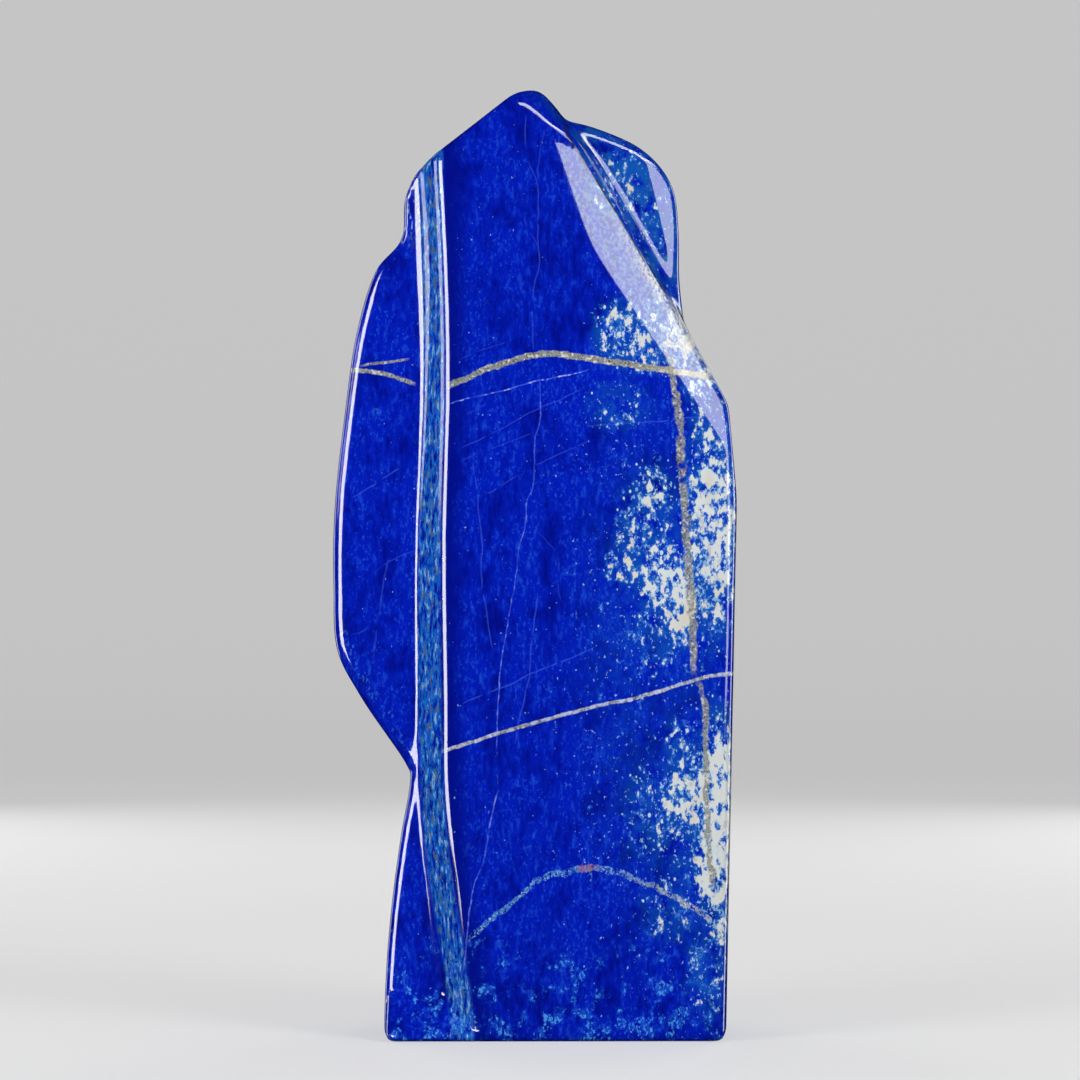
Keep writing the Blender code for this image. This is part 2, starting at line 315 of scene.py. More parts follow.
# %% The four lobes
LOBES = {
    "wing": {
        "outline": (
            (-0.0400, 0.4205), (-0.0510, 0.4163), (-0.0585, 0.4080), (-0.0620, 0.3985), (-0.0624, 0.3850),
            (-0.0650, 0.3780), (-0.0755, 0.3660), (-0.0847, 0.3377), (-0.0915, 0.293),
            (-0.0957, 0.251), (-0.0962, 0.215), (-0.0943, 0.184), (-0.084, 0.1635), (-0.0640, 0.1345),
            (-0.046, 0.108), (-0.020, 0.250), (-0.0250, 0.4000),
        ),
        "faces": {
            "face": ((-0.0800, -0.0366, 0.250), (-0.050, -1.000, 0.0247)),
            "back": ((-0.0900, 0.0220, 0.250), (-0.300, 0.950, 0.050)),
        },
        "edge": ((0.350, 0.385), (0.0056, 0.0018)),
        "corner": (
            (0.150, 0.255, 0.300, 0.335, 0.360, 0.385, 0.410),
            (0.0026, 0.0026, 0.0036, 0.0052, 0.0070, 0.0070, 0.0050),
        ),
    },
    "foot": {
        "outline": (
            (-0.050, 0.150), (-0.0580, 0.138), (-0.0590, 0.1266), (-0.0600, 0.117), (-0.0635, 0.098),
            (-0.0675, 0.0694), (-0.0703, 0.0407), (-0.0716, 0.010), (-0.0716, -0.020), (-0.0716, -0.040),
            (-0.0100, -0.040), (-0.0100, 0.120),
        ),
        "faces": {
            "face": ((-0.0550, -0.0417, 0.110), (-0.080, -1.000, 0.022)),
            "back left corner": ((-0.0560, 0.0420, 0.000), (-0.680, 0.730, 0.060)),
            "back": ((0.0000, 0.0400, 0.000), (0.000, 1.000, 0.000)),
        },
        "edge": ((0.0,), (0.0045,)),
        "corner": ((0.0,), (0.0030,)),
    },
    "toe": {
        "outline": (
            (-0.0640, 0.080), (-0.0686, 0.045), (-0.0706, 0.010), (-0.0706, -0.020), (-0.0706, -0.040),
            (-0.0130, -0.040), (-0.0180, -0.010), (-0.0270, 0.012), (-0.0330, 0.040), (-0.0360, 0.080),
        ),
        "faces": {
            "face": ((-0.0450, -0.0597, 0.000), (0.000, -1.000, 0.720)),
            "back": ((-0.0600, 0.0000, 0.000), (0.000, 1.000, 0.000)),
        },
        "edge": ((0.0,), (0.0050,)),
        "corner": ((0.0,), (0.0010,)),
    },
    "rear slab": {
        "outline": (
            (-0.058, -0.040), (-0.058, -0.020), (-0.056, 0.060), (-0.0545, 0.131), (-0.059, 0.250),
            (-0.0618, 0.360), (-0.0622, 0.398), (-0.0585, 0.408), (-0.051, 0.4165), (-0.040, 0.4235),
            (-0.020, 0.434), (0.000, 0.4385), (0.0195, 0.4368), (0.0358, 0.4318), (0.0497, 0.4252),
            (0.0600, 0.4160), (0.0665, 0.4045), (0.0688, 0.386), (0.0692, 0.360), (0.0725, 0.330),
            (0.078, 0.260), (0.080, 0.120), (0.078, -0.020), (0.078, -0.040),
        ),
        "faces": {
            "shoulder face": ((0.0400, -0.0270, 0.400), (0.060, -1.000, 0.060)),
            "shoulder blade": ((0.0608, -0.0266, 0.3850), (0.410, -0.910, 0.140), 0.0040),
            "front, below": ((0.0000, -0.0270, 0.300), (-0.080, -1.000, 0.000)),
            "back": ((0.0000, 0.0570, 0.000), (0.020, 1.000, 0.025)),
            "back above": ((0.0000, 0.0480, 0.260), (-0.060, 1.000, 0.150)),
            "back, lower right": ((0.0450, 0.0550, 0.080), (0.230, 0.970, -0.060)),
            "back left corner": ((-0.0500, 0.0420, 0.200), (-0.720, 0.690, 0.050)),
            "back right corner": ((0.0700, 0.0400, 0.200), (0.780, 0.620, 0.060)),
        },
        "edge": ((0.0,), (0.0080,)),
        "corner": ((0.350, 0.400, 0.430), (0.0100, 0.0095, 0.0060)),
    },
}
for lobe in LOBES.values():
    lobe["grid"] = outline_grid(lobe["outline"])
print("Measured the distances around", len(LOBES), "outlines")

# %% [markdown]
# ## The whole stone as one distance
#
# The layers are joined with small hollows, as wide as a polisher's felt can reach into, and the last cut
# is the flat base. Its rim is only rounded a little, so that the stone stands firmly.

# %% Join the layers and cut the base
BASE_EDGE = 0.0050


def stone_form(points):
    """The depth under the polished surface and its slope, at points of the drawing."""
    form = front_plate(points)
    for lobe in LOBES.values():
        edge, corner = (np.interp(points[:, 2], *lobe[name]) for name in ("edge", "corner"))
        layer = grind(points, lobe["faces"], edge, start=outline_form(lobe["grid"], points))
        form = join(form, layer, corner)
    return meet(form, ground_face(points, (0, 0, 0), (0, 0, -1)), BASE_EDGE)


middle_depth = stone_form(np.array([[0.0, 0.0, stone_high.z / 2]]))[0][0]
print("The middle of the stone lies", round(-1000 * middle_depth, 1), "mm under its surface")

# %% [markdown]
# ## An even skin of small faces
#
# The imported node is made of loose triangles, so a copy is merged first. A voxel Remesh then lays an even
# skin of small faces over it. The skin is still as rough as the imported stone, but every vertex lies close
# to its final place, and that is all the next step needs.

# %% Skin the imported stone
SKIN_STEP = 0.00176
SKIN_RELAX = 6
MERGE_WITHIN = 0.00002
stone_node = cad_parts["stone"]
skin_mesh = stone_node.data.copy()
merging = bmesh.new()
merging.from_mesh(skin_mesh)
bmesh.ops.remove_doubles(merging, verts=merging.verts, dist=MERGE_WITHIN)
merging.to_mesh(skin_mesh)
merging.free()
skin_mesh.materials.clear()
skin = bpy.data.objects.new("Stone skin", skin_mesh)
bpy.context.scene.collection.objects.link(skin)


def freeze(obj):
    """Turns an object with modifiers into a plain mesh."""
    bpy.context.view_layer.update()
    mesh = bpy.data.meshes.new_from_object(obj.evaluated_get(bpy.context.evaluated_depsgraph_get()))
    obj.modifiers.clear()
    obj.data = mesh


def lay_skin(obj):
    """Covers the object with an even skin of small faces."""
    even = obj.modifiers.new("Even faces", "REMESH")
    even.mode = "VOXEL"
    even.voxel_size = SKIN_STEP
    relax = obj.modifiers.new("Relaxed", "SMOOTH")
    relax.factor = 0.5
    relax.iterations = SKIN_RELAX
    freeze(obj)


lay_skin(skin)
print("The skin has", len(skin.data.vertices), "vertices and", len(skin.data.polygons), "faces")

# %% [markdown]
# ## Grind the skin
#
# Each vertex is slid along the slope until its depth is zero, which takes a few short steps. The surface
# then has the same flats and the same rounding everywhere, however rough the skin was. Where the packed
# stone was a few millimetres off, the faces come out stretched. So it is done twice, with a new even skin
# in between.

# %% Slide every vertex to the surface
GRINDING_STROKES = 5
LEAST_SLOPE = 0.25


def mesh_points(mesh):
    """The mesh's vertices as rows of x, y and z."""
    flat = np.empty(3 * len(mesh.vertices))
    mesh.vertices.foreach_get("co", flat)
    return flat.reshape(-1, 3)


def grind_skin(obj):
    """Slides every vertex to the ground surface. Gives the depth left over and the surface's normals."""
    points = mesh_points(obj.data) - drawing_step
    for _ in range(GRINDING_STROKES):
        depth, slope = stone_form(points)
        points = points - slope * (depth / np.maximum((slope**2).sum(axis=1), LEAST_SLOPE))[:, None]
    depth, slope = stone_form(points)
    points[:, 2] = np.maximum(points[:, 2], 0.0)
    obj.data.vertices.foreach_set("co", (points + drawing_step).ravel())
    obj.data.update()
    return depth, slope / np.linalg.norm(slope, axis=1)[:, None]


grind_skin(skin)
lay_skin(skin)
depth, ground_normals = grind_skin(skin)
print("Left over after grinding:", round(1e6 * np.abs(depth).max(), 2), "micrometres at most")

# %% [markdown]
# ## The wave that hand polishing leaves
#
# A stone that is held against a felt wheel never comes out quite flat. The waves are only a fraction of a
# millimetre high, but a softbox reflected in them shows their gentle bends. They follow a simple rule, so
# Geometry Nodes make them: noise, read at each point, moves the point along its normal. The same noise is
# read a little further along each axis as well. The differences are its slope, which tilts the normal by
# the right amount.

# %% A bench for building node trees
class Bench:
    """Adds nodes to one tree. An input has a name or number, and is a socket to link or a plain value."""

    def __init__(self, tree):
        self.tree = tree

    def add(self, kind, inputs=(), **settings):
        node = self.tree.nodes.new(kind)
        for name, value in settings.items():
            setattr(node, name, value)
        for name, value in dict(inputs).items():
            if isinstance(value, bpy.types.NodeSocket):
                self.tree.links.new(value, node.inputs[name])
            else:
                node.inputs[name].default_value = value
        return node

    def maths(self, operation, *values):
        return self.add("ShaderNodeMath", enumerate(values), operation=operation).outputs[0]

    def vector(self, operation, *values):
        node = self.add("ShaderNodeVectorMath", enumerate(values), operation=operation)
        return node.outputs["Value" if operation in ("DOT_PRODUCT", "LENGTH") else "Vector"]

    def scaled(self, value, size):
        return self.add("ShaderNodeVectorMath", {0: value, "Scale": size}, operation="SCALE").outputs[0]

    def between(self, value, start, full):
        """0 up to start and 1 from full on, with a soft step between them. Either may be the larger."""
        limits = {"Value": value, "From Min": start, "From Max": full}
        return self.add("ShaderNodeMapRange", limits, interpolation_type="SMOOTHSTEP").outputs[0]


def new_tree(name, kind, inputs, output):
    """An empty tree with named inputs, as (name, kind, default), and one output."""
    tree = bpy.data.node_groups.new(name, kind)
    for title, socket_kind, default in inputs:
        socket = tree.interface.new_socket(title, in_out="INPUT", socket_type="NodeSocket" + socket_kind)
        if default is not None:
            socket.default_value = default
    tree.interface.new_socket(output[0], in_out="OUTPUT", socket_type="NodeSocket" + output[1])
    return tree


# %% Build the polishing tree
WAVE_HEIGHT = 0.0005
WAVE_LENGTH = 0.055
WAVE_SEED = 4.0
FLAT_BELOW = 0.012
PROBE = 0.0005
POLISHING_INPUTS = (
    ("Geometry", "Geometry", None),
    ("Wave height", "Float", WAVE_HEIGHT),
    ("Wave length", "Float", WAVE_LENGTH),
    ("Seed", "Float", WAVE_SEED),
    ("Flat below", "Float", FLAT_BELOW),
    ("Material", "Material", None),
)


def polishing_tree():
    """Moves every point along its normal by the wave and tilts the normal to suit."""
    tree = new_tree("Hand polishing", "GeometryNodeTree", POLISHING_INPUTS, ("Geometry", "Geometry"))
    bench = Bench(tree)
    given = bench.add("NodeGroupInput").outputs
    place = bench.add("GeometryNodeInputPosition").outputs[0]
    read = bench.add("GeometryNodeInputNamedAttribute", {"Name": "ground_normal"}, data_type="FLOAT_VECTOR")
    normal = read.outputs["Attribute"]
    per_length = bench.maths("DIVIDE", 1.0, given["Wave length"])

    def wave(where):
        values = {"Vector": where, "W": given["Seed"], "Scale": per_length, "Detail": 0.0}
        return bench.add("ShaderNodeTexNoise", values, noise_dimensions="4D").outputs[0]

    here = wave(place)
    probes = [bench.vector("ADD", place, step) for step in ((PROBE, 0, 0), (0, PROBE, 0), (0, 0, PROBE))]
    rises = [bench.maths("SUBTRACT", wave(probe), here) for probe in probes]
    above_base = bench.add("ShaderNodeSeparateXYZ", {0: place}).outputs["Z"]
    rising = bench.between(above_base, 0.0, given["Flat below"])
    height = bench.maths("MULTIPLY", given["Wave height"], rising)
    slope = bench.add("ShaderNodeCombineXYZ", enumerate(rises)).outputs[0]
    slope = bench.scaled(slope, bench.maths("DIVIDE", height, PROBE))
    along_normal = bench.scaled(normal, bench.vector("DOT_PRODUCT", slope, normal))
    tilted = bench.vector("SUBTRACT", normal, bench.vector("SUBTRACT", slope, along_normal))
    polished = bench.vector("NORMALIZE", tilted)
    stored = {"Geometry": given["Geometry"], "Name": "polished_normal", "Value": polished}
    keep = bench.add("GeometryNodeStoreNamedAttribute", stored, data_type="FLOAT_VECTOR")
    rise = bench.maths("MULTIPLY", bench.maths("SUBTRACT", here, 0.5), height)
    moved = {"Geometry": keep.outputs[0], "Offset": bench.scaled(normal, rise)}
    move = bench.add("GeometryNodeSetPosition", moved)
    real = bench.add("GeometryNodeRealizeInstances", {"Geometry": move.outputs[0]})
    dressed = {"Geometry": real.outputs[0], "Material": given["Material"]}
    dress = bench.add("GeometryNodeSetMaterial", dressed)
    bench.add("NodeGroupOutput", {"Geometry": dress.outputs[0]})
    return tree


polishing = polishing_tree()
print("The polishing tree has", len(polishing.nodes), "nodes")

# %% [markdown]
# The modifier's inputs are set by identifier, before the object is evaluated. The result is frozen into a
# plain mesh, and the normals that the tree worked out become the mesh's own, so that a highlight runs
# along an edge without any trace of the faces under it.

# %% Polish the stone
lapis = bpy.data.materials.new("Polished lapis lazuli")
kept = skin.data.attributes.new("ground_normal", "FLOAT_VECTOR", "POINT")
kept.data.foreach_set("vector", ground_normals.ravel())
polish = skin.modifiers.new("Hand polishing", "NODES")
polish.node_group = polishing
sockets = polishing.interface.items_tree
identifiers = {socket.name: socket.identifier for socket in sockets if socket.in_out == "INPUT"}
for name, value in {
    "Wave height": WAVE_HEIGHT,
    "Wave length": WAVE_LENGTH,
    "Seed": WAVE_SEED,
    "Flat below": FLAT_BELOW,
    "Material": lapis,
}.items():
    polish[identifiers[name]] = value
freeze(skin)
stone = skin
stone.name = "lapis_stone"
stone.data.name = "lapis_stone"
polished = np.empty(3 * len(stone.data.vertices))
stone.data.attributes["polished_normal"].data.foreach_get("vector", polished)
stone.data.shade_smooth()
stone.data.normals_split_custom_set_from_vertices(polished.reshape(-1, 3))
for name in ("ground_normal", "polished_normal"):
    stone.data.attributes.remove(stone.data.attributes[name])
stone_sides = np.ptp(mesh_points(stone.data), axis=0)
print("The polished stone is", np.round(1000 * stone_sides, 1), "mm")

# %% [markdown]
# ## One material for the whole stone
#
# Everything that shows under the polish is colour: bands, veins, cracks and patches that run through the
# rock. So the material reads the place in the rock, from Object coordinates, and never a picture. A few
# tools come first: noise with a given size of grain, one colour laid over another, and ways to put
# shares together. A share is a number from 0 to 1 that says how much of something shows at a place.

# %% A painter's bench
class Painter(Bench):
    """A bench with the tools of a stone painter: grain, tints and shares."""

    def noise(self, where, grain, stretch=(1, 1, 1), seed=0.0, detail=2.0, roughness=0.5):
        """Noise from 0 to 1 with this size of grain, in metres, longer where it is stretched."""
        scale = [1 / (grain * long) for long in stretch]
        placing = {"Vector": where, "Location": (seed, -seed, seed / 2), "Scale": scale}
        placed = self.add("ShaderNodeMapping", placing).outputs[0]
        values = {"Vector": placed, "Scale": 1.0, "Detail": detail, "Roughness": roughness}
        return self.add("ShaderNodeTexNoise", values).outputs[0]

    def tint(self, under, over, share):
        """The over colour laid on the under colour by its share."""
        return self.add("ShaderNodeMix", {0: share, 6: under, 7: over}, data_type="RGBA").outputs[2]

    def both(self, first, *others):
        """The product of all shares and strengths."""
        for other in others:
            first = self.maths("MULTIPLY", first, other)
        return first

    def either(self, first, *others):
        """The largest of all shares."""
        for other in others:
            first = self.maths("MAXIMUM", first, other)
        return first

    def lowered(self, limit, share, pull):
        """A limit that the share pulls down."""
        return self.maths("SUBTRACT", limit, self.both(share, pull))

    def above(self, value, limit, softness):
        """0 below the limit, and 1 once the value is above it by the softness."""
        return self.between(value, limit, self.maths("ADD", limit, softness))


lapis.use_nodes = True
shader = lapis.node_tree.nodes["Principled BSDF"]
paint = Painter(lapis.node_tree)
print("The bench is ready for", lapis.name)

# %% [markdown]
# In front, a pattern lies where the rock shows it. Behind the front faces the layers dip to the side and
# sag, so the same vein comes out of the back at another place, which a small shift with depth does here.

# %% The place in the rock
DIP_STARTS = -0.022
DIP_SIDEWAYS = 0.38
DIP_DOWN = 0.26
DIP_WAVER = 0.55
DIP_GRAIN = 0.060
FRONT_ENDS = (-0.022, -0.030)
in_frame = paint.add("ShaderNodeTexCoord").outputs["Object"]
placing = {"Vector": in_frame, "Location": [-step for step in drawing_step]}
rock = paint.add("ShaderNodeMapping", placing).outputs[0]
rock_x, rock_y, rock_z = paint.add("ShaderNodeSeparateXYZ", {0: rock}).outputs
depth_behind = paint.maths("MAXIMUM", paint.maths("SUBTRACT", rock_y, DIP_STARTS), 0.0)
dip_noise = paint.noise(rock, DIP_GRAIN, seed=3.0)
waver_behind = paint.both(paint.maths("SUBTRACT", dip_noise, 0.5), depth_behind, DIP_WAVER)
x = paint.maths("ADD", paint.maths("ADD", rock_x, paint.both(depth_behind, DIP_SIDEWAYS)), waver_behind)
z = paint.maths("SUBTRACT", paint.maths("ADD", rock_z, paint.both(depth_behind, DIP_DOWN)), waver_behind)
in_front = paint.between(rock_y, *FRONT_ENDS)
print("The layers dip", DIP_SIDEWAYS, "to the side and", DIP_DOWN, "down for each step back")

# %% [markdown]
# ## The blue
#
# Lazurite is a very deep blue, a little different in every grain. The grains were drawn out upwards when
# the rock was squeezed, so the whole face shows fine upright streaks. The streaks are noise with grains
# almost three times as tall as they are wide, and a coarser mottling under them lets some stretches run
# darker.

# %% Blue streaks and mottling
DEEP_BLUE = (0.0008, 0.0048, 0.245, 1)
ULTRAMARINE = (0.0010, 0.0120, 0.480, 1)
PALE_STREAK = (0.014, 0.088, 0.720, 1)
streaks = paint.noise(rock, 0.0022, stretch=(1, 1, 2.8), seed=1.0, detail=3.0, roughness=0.62)
mottling = paint.noise(rock, 0.013, stretch=(1, 1, 1.6), seed=2.0, detail=4.0, roughness=0.6)
fine_grain = paint.noise(rock, 0.0013, stretch=(1, 1, 1.5), seed=5.0, detail=2.0, roughness=0.6)
body = paint.maths("ADD", paint.both(streaks, 0.45), paint.both(mottling, 0.55))
colour = paint.tint(DEEP_BLUE, ULTRAMARINE, paint.between(body, 0.34, 0.56))
pale = paint.both(paint.between(streaks, 0.53, 0.70), paint.between(mottling, 0.36, 0.60), 0.50)
colour = paint.tint(colour, PALE_STREAK, pale)
specks = paint.both(paint.between(fine_grain, 0.55, 0.70), paint.between(mottling, 0.40, 0.58), 0.60)
colour = paint.tint(colour, PALE_STREAK, specks)
print("The blue has", len(lapis.node_tree.nodes), "nodes so far")

# %% [markdown]
# ## Sheets through the rock
#
# A vein is a sheet that cuts through the rock, and what shows is where the sheet meets the surface. A
# Float Curve holds the line of one sheet, as seen from the front, through a few points. Subtracting it
# from the place gives the distance to the sheet, and a vein shows where that distance is less than half
# its width.

# %% Distance to a drawn sheet
SHEET_MARGIN = 0.004


def drawn_sheet(along, across, line):
    """How far a place lies beside the sheet through the line's points, as (along, across) in metres."""
    first, last = line[0][0], line[-1][0]
    low = min(side for _, side in line) - SHEET_MARGIN
    high = max(side for _, side in line) + SHEET_MARGIN
    ends = {"Value": along, "From Min": first, "From Max": last}
    share = paint.add("ShaderNodeMapRange", ends).outputs[0]
    curve = paint.add("ShaderNodeFloatCurve", {"Value": share})
    spline = curve.mapping.curves[0]
    places = [((way - first) / (last - first), (side - low) / (high - low)) for way, side in line]
    for point, place in zip(spline.points, (places[0], places[-1])):
        point.location = place
    for place in places[1:-1]:
        spline.points.new(*place)
    curve.mapping.update()
    sides = {"Value": curve.outputs[0], "To Min": low, "To Max": high}
    drawn = paint.add("ShaderNodeMapRange", sides).outputs[0]
    return paint.maths("SUBTRACT", across, drawn)


print("A sheet's curve keeps", 1000 * SHEET_MARGIN, "mm of room on both sides")

# %% [markdown]
# One group draws any vein from that distance. Its inputs are the sizes that a painter would ask for: how
# wide the vein is, how much it wavers, where it begins and ends, and how often it is broken.

# %% A group that draws one vein
VEIN_INPUTS = (
    ("Offset", "Float", 0.0),
    ("Along", "Float", 0.0),
    ("Start", "Float", 0.0),
    ("End", "Float", 1.0),
    ("Fade", "Float", 0.004),
    ("Half width", "Float", 0.001),
    ("Waver", "Float", 0.0),
    ("Raggedness", "Float", 0.5),
    ("Gaps", "Float", 0.0),
    ("Patches", "Float", 0.5),
)
THINNEST = 0.45
RAGGED_GAIN = 1.1
RIM_SHARE = 0.18
RIM_LEAST = 0.00012
GAP_RIM = 0.07


def vein_group():
    """A line with a ragged width, two ends and gaps."""
    tree = new_tree("Vein", "ShaderNodeTree", VEIN_INPUTS, ("Share", "Float"))
    bench = Painter(tree)
    given = bench.add("NodeGroupInput").outputs
    beside = bench.maths("ABSOLUTE", bench.maths("ADD", given["Offset"], given["Waver"]))
    ragged = bench.maths("ADD", bench.both(given["Raggedness"], RAGGED_GAIN), THINNEST)
    half = bench.both(given["Half width"], ragged)
    soft = bench.maths("ADD", bench.both(half, RIM_SHARE), RIM_LEAST)
    inner = bench.maths("SUBTRACT", half, soft)
    outer = bench.maths("ADD", half, soft)
    line = bench.between(beside, outer, inner)
    full_from = bench.maths("ADD", given["Start"], given["Fade"])
    full_until = bench.maths("SUBTRACT", given["End"], given["Fade"])
    after_start = bench.between(given["Along"], given["Start"], full_from)
    before_end = bench.between(given["Along"], given["End"], full_until)
    low_gap = bench.maths("SUBTRACT", given["Gaps"], GAP_RIM)
    high_gap = bench.maths("ADD", given["Gaps"], GAP_RIM)
    unbroken = bench.between(given["Patches"], low_gap, high_gap)
    share = bench.both(line, after_start, before_end, unbroken)
    bench.add("NodeGroupOutput", {"Share": share})
    return tree


vein_tree = vein_group()
waver = paint.maths("SUBTRACT", paint.noise(rock, 0.006, seed=11.0, detail=3.0), 0.5)
ragged = paint.noise(rock, 0.0025, seed=12.0, detail=2.0)
patches = paint.noise(rock, 0.007, seed=13.0, detail=2.0)


def draw_vein(line, upright, half_width, wavers=0.0010, gaps=0.0, fade=0.004):
    """The share of a vein along one line. An upright line is given as (z, x), and a level one as (x, z)."""
    along, across = (z, x) if upright else (x, z)
    values = {
        "Offset": drawn_sheet(along, across, line),
        "Along": along,
        "Start": line[0][0],
        "End": line[-1][0],
        "Fade": fade,
        "Half width": half_width,
        "Waver": paint.both(waver, wavers),
        "Raggedness": ragged,
        "Gaps": gaps,
        "Patches": patches,
    }
    return paint.add("ShaderNodeGroup", node_tree=vein_tree, inputs=values).outputs[0]


print("The vein group has", len(vein_tree.nodes), "nodes")

# %% [markdown]
# ## The strip
#
# The strip down the left of the broad face cuts across the layers at a slant. It shows them as fine
# upright threads of bright blue, pale blue and olive, and the same threads run on down to the base beside
# the toe. It is drawn as one very wide sheet, and the threads are thin tall noise inside it. Just to its
# right a painted shade darkens the blue along the ridge. The wing's small top, left of the strip, shows
# the same threads once more.

# %% Threads of the strip
STRIP_LINE = (
    (0.000, -0.0340), (0.0240, -0.0362), (0.0452, -0.0394), (0.0593, -0.0420), (0.0876, -0.0462),
    (0.1200, -0.0486), (0.1500, -0.0499), (0.2580, -0.0500), (0.3000, -0.0484), (0.3500, -0.0485),
    (0.4000, -0.0492), (0.4400, -0.0500),
)
STRIP_BLUE = (0.013, 0.180, 0.700, 1)
STRIP_PALE = (0.270, 0.530, 0.790, 1)
STRIP_OLIVE = (0.110, 0.170, 0.170, 1)
STRIP_RIM = (0.0066, 0.0040)
SHADOW_STARTS = (0.0050, 0.0068)
SHADOW_ENDS = (0.020, 0.009)
WING_TOP_LEFT_OF = (-0.0535, -0.0555)
WING_TOP_ABOVE = (0.372, 0.386)
beside_strip = drawn_sheet(z, x, STRIP_LINE)
strip = paint.both(paint.between(paint.maths("ABSOLUTE", beside_strip), *STRIP_RIM), in_front)
threads = paint.noise(rock, 0.0017, stretch=(1, 1, 3.2), seed=21.0, detail=3.0, roughness=0.6)
knots = paint.noise(rock, 0.0022, stretch=(1, 1, 2.2), seed=22.0, detail=3.0, roughness=0.6)
# Painted shade: a band of deep blue just right of the strip, along its ridge.
shadow = paint.both(paint.between(beside_strip, *SHADOW_STARTS), paint.between(beside_strip, *SHADOW_ENDS))
colour = paint.tint(colour, DEEP_BLUE, paint.both(shadow, in_front, 0.92))
colour = paint.tint(colour, STRIP_BLUE, paint.both(strip, paint.between(threads, 0.38, 0.54), 0.85))
left_shoulder = paint.both(in_front, paint.between(x, *WING_TOP_LEFT_OF), paint.between(z, *WING_TOP_ABOVE))
strip = paint.either(strip, paint.both(left_shoulder, 0.8))
colour = paint.tint(colour, DEEP_BLUE, paint.both(strip, paint.between(knots, 0.47, 0.38), 0.55))
colour = paint.tint(colour, STRIP_OLIVE, paint.both(strip, paint.between(knots, 0.54, 0.62), 0.72))
colour = paint.tint(colour, STRIP_PALE, paint.both(strip, paint.between(threads, 0.575, 0.66), 0.85))
print("The strip is", round(1000 * sum(STRIP_RIM), 1), "mm wide and", STRIP_LINE[-1][0], "m long")

# %% [markdown]
# ## The shoulder
#
# The rear slab's rounded shoulder belongs to another layer. It is a lighter teal blue, with grey-green
# grains and a few white specks in its middle.

# %% Teal of the shoulder
SHOULDER_TEAL = (0.006, 0.085, 0.440, 1)
SHOULDER_GREEN = (0.150, 0.330, 0.300, 1)
SHOULDER_BEHIND = (-0.041, -0.034)
SHOULDER_ABOVE = (0.330, 0.372)
SHOULDER_RIGHT_OF = (-0.010, 0.030)
shoulder = paint.both(paint.between(rock_y, *SHOULDER_BEHIND), paint.between(rock_z, *SHOULDER_ABOVE))
shoulder = paint.both(shoulder, paint.between(rock_x, *SHOULDER_RIGHT_OF))
cloud = paint.noise(rock, 0.009, seed=31.0, detail=4.0, roughness=0.65)
colour = paint.tint(colour, SHOULDER_TEAL, paint.both(shoulder, paint.between(cloud, 0.36, 0.62)))
green = paint.both(shoulder, paint.between(knots, 0.56, 0.70), paint.between(cloud, 0.48, 0.60), 0.7)
colour = paint.tint(colour, SHOULDER_GREEN, green)
print("The teal comes in between", SHOULDER_ABOVE[0], "and", SHOULDER_ABOVE[1], "m up")

# %% [markdown]
# ## Clouds near the base
#
# Towards the base the blue turns cloudy, with soft light-blue flecks. They thicken below the arch and
# most of all along the lowest edge. The same flecks, laid along the lower rim of the wing, are partly a
# painted highlight: the dotted end of the white line along that rim.

# %% Light clouds, and a painted highlight along the wing's rim
CLOUD_BLUE = (0.012, 0.090, 0.660, 1)
SKY_FLECK = (0.060, 0.300, 0.800, 1)
WING_RIM_HIGHLIGHT = ((0.1340, -0.0580), (0.1607, -0.0752), (0.1830, -0.0880), (0.1980, -0.0925))
CLOUD_LIMIT = 0.64
CLOUD_SOFTNESS = 0.16
low_down = paint.between(rock_z, 0.084, 0.020)
lowest = paint.between(rock_z, 0.030, 0.000)
cloud_limit = paint.lowered(paint.lowered(CLOUD_LIMIT, low_down, 0.14), lowest, 0.05)
cloudy = paint.above(cloud, cloud_limit, CLOUD_SOFTNESS)
colour = paint.tint(colour, CLOUD_BLUE, paint.both(cloudy, paint.between(streaks, 0.36, 0.60), 0.75))
# Painted highlight: light-blue flecks along the wing's lower rim carry on its rim's white line in dots.
wing_rim_highlight = draw_vein(WING_RIM_HIGHLIGHT, True, 0.0026, wavers=0.0050, gaps=0.44)
cloudy = paint.either(cloudy, wing_rim_highlight)
flecks_and_rim_highlight = paint.both(paint.between(fine_grain, 0.52, 0.62), paint.between(cloudy, 0.15, 0.9))
colour = paint.tint(colour, SKY_FLECK, paint.both(flecks_and_rim_highlight, paint.maths("ADD", low_down, 0.30), 0.85))
print("The recipe has", len(lapis.node_tree.nodes), "nodes by now")

# %% [markdown]
# ## Healed cracks
#
# Old cracks healed with a trace of calcite and show as pale violet hairlines. A long one wanders down the
# middle of the broad face to the base. Shorter ones run beside it, and others rise gently to the right.
# Each is a thin vein with its own line, and says how strongly it shows.

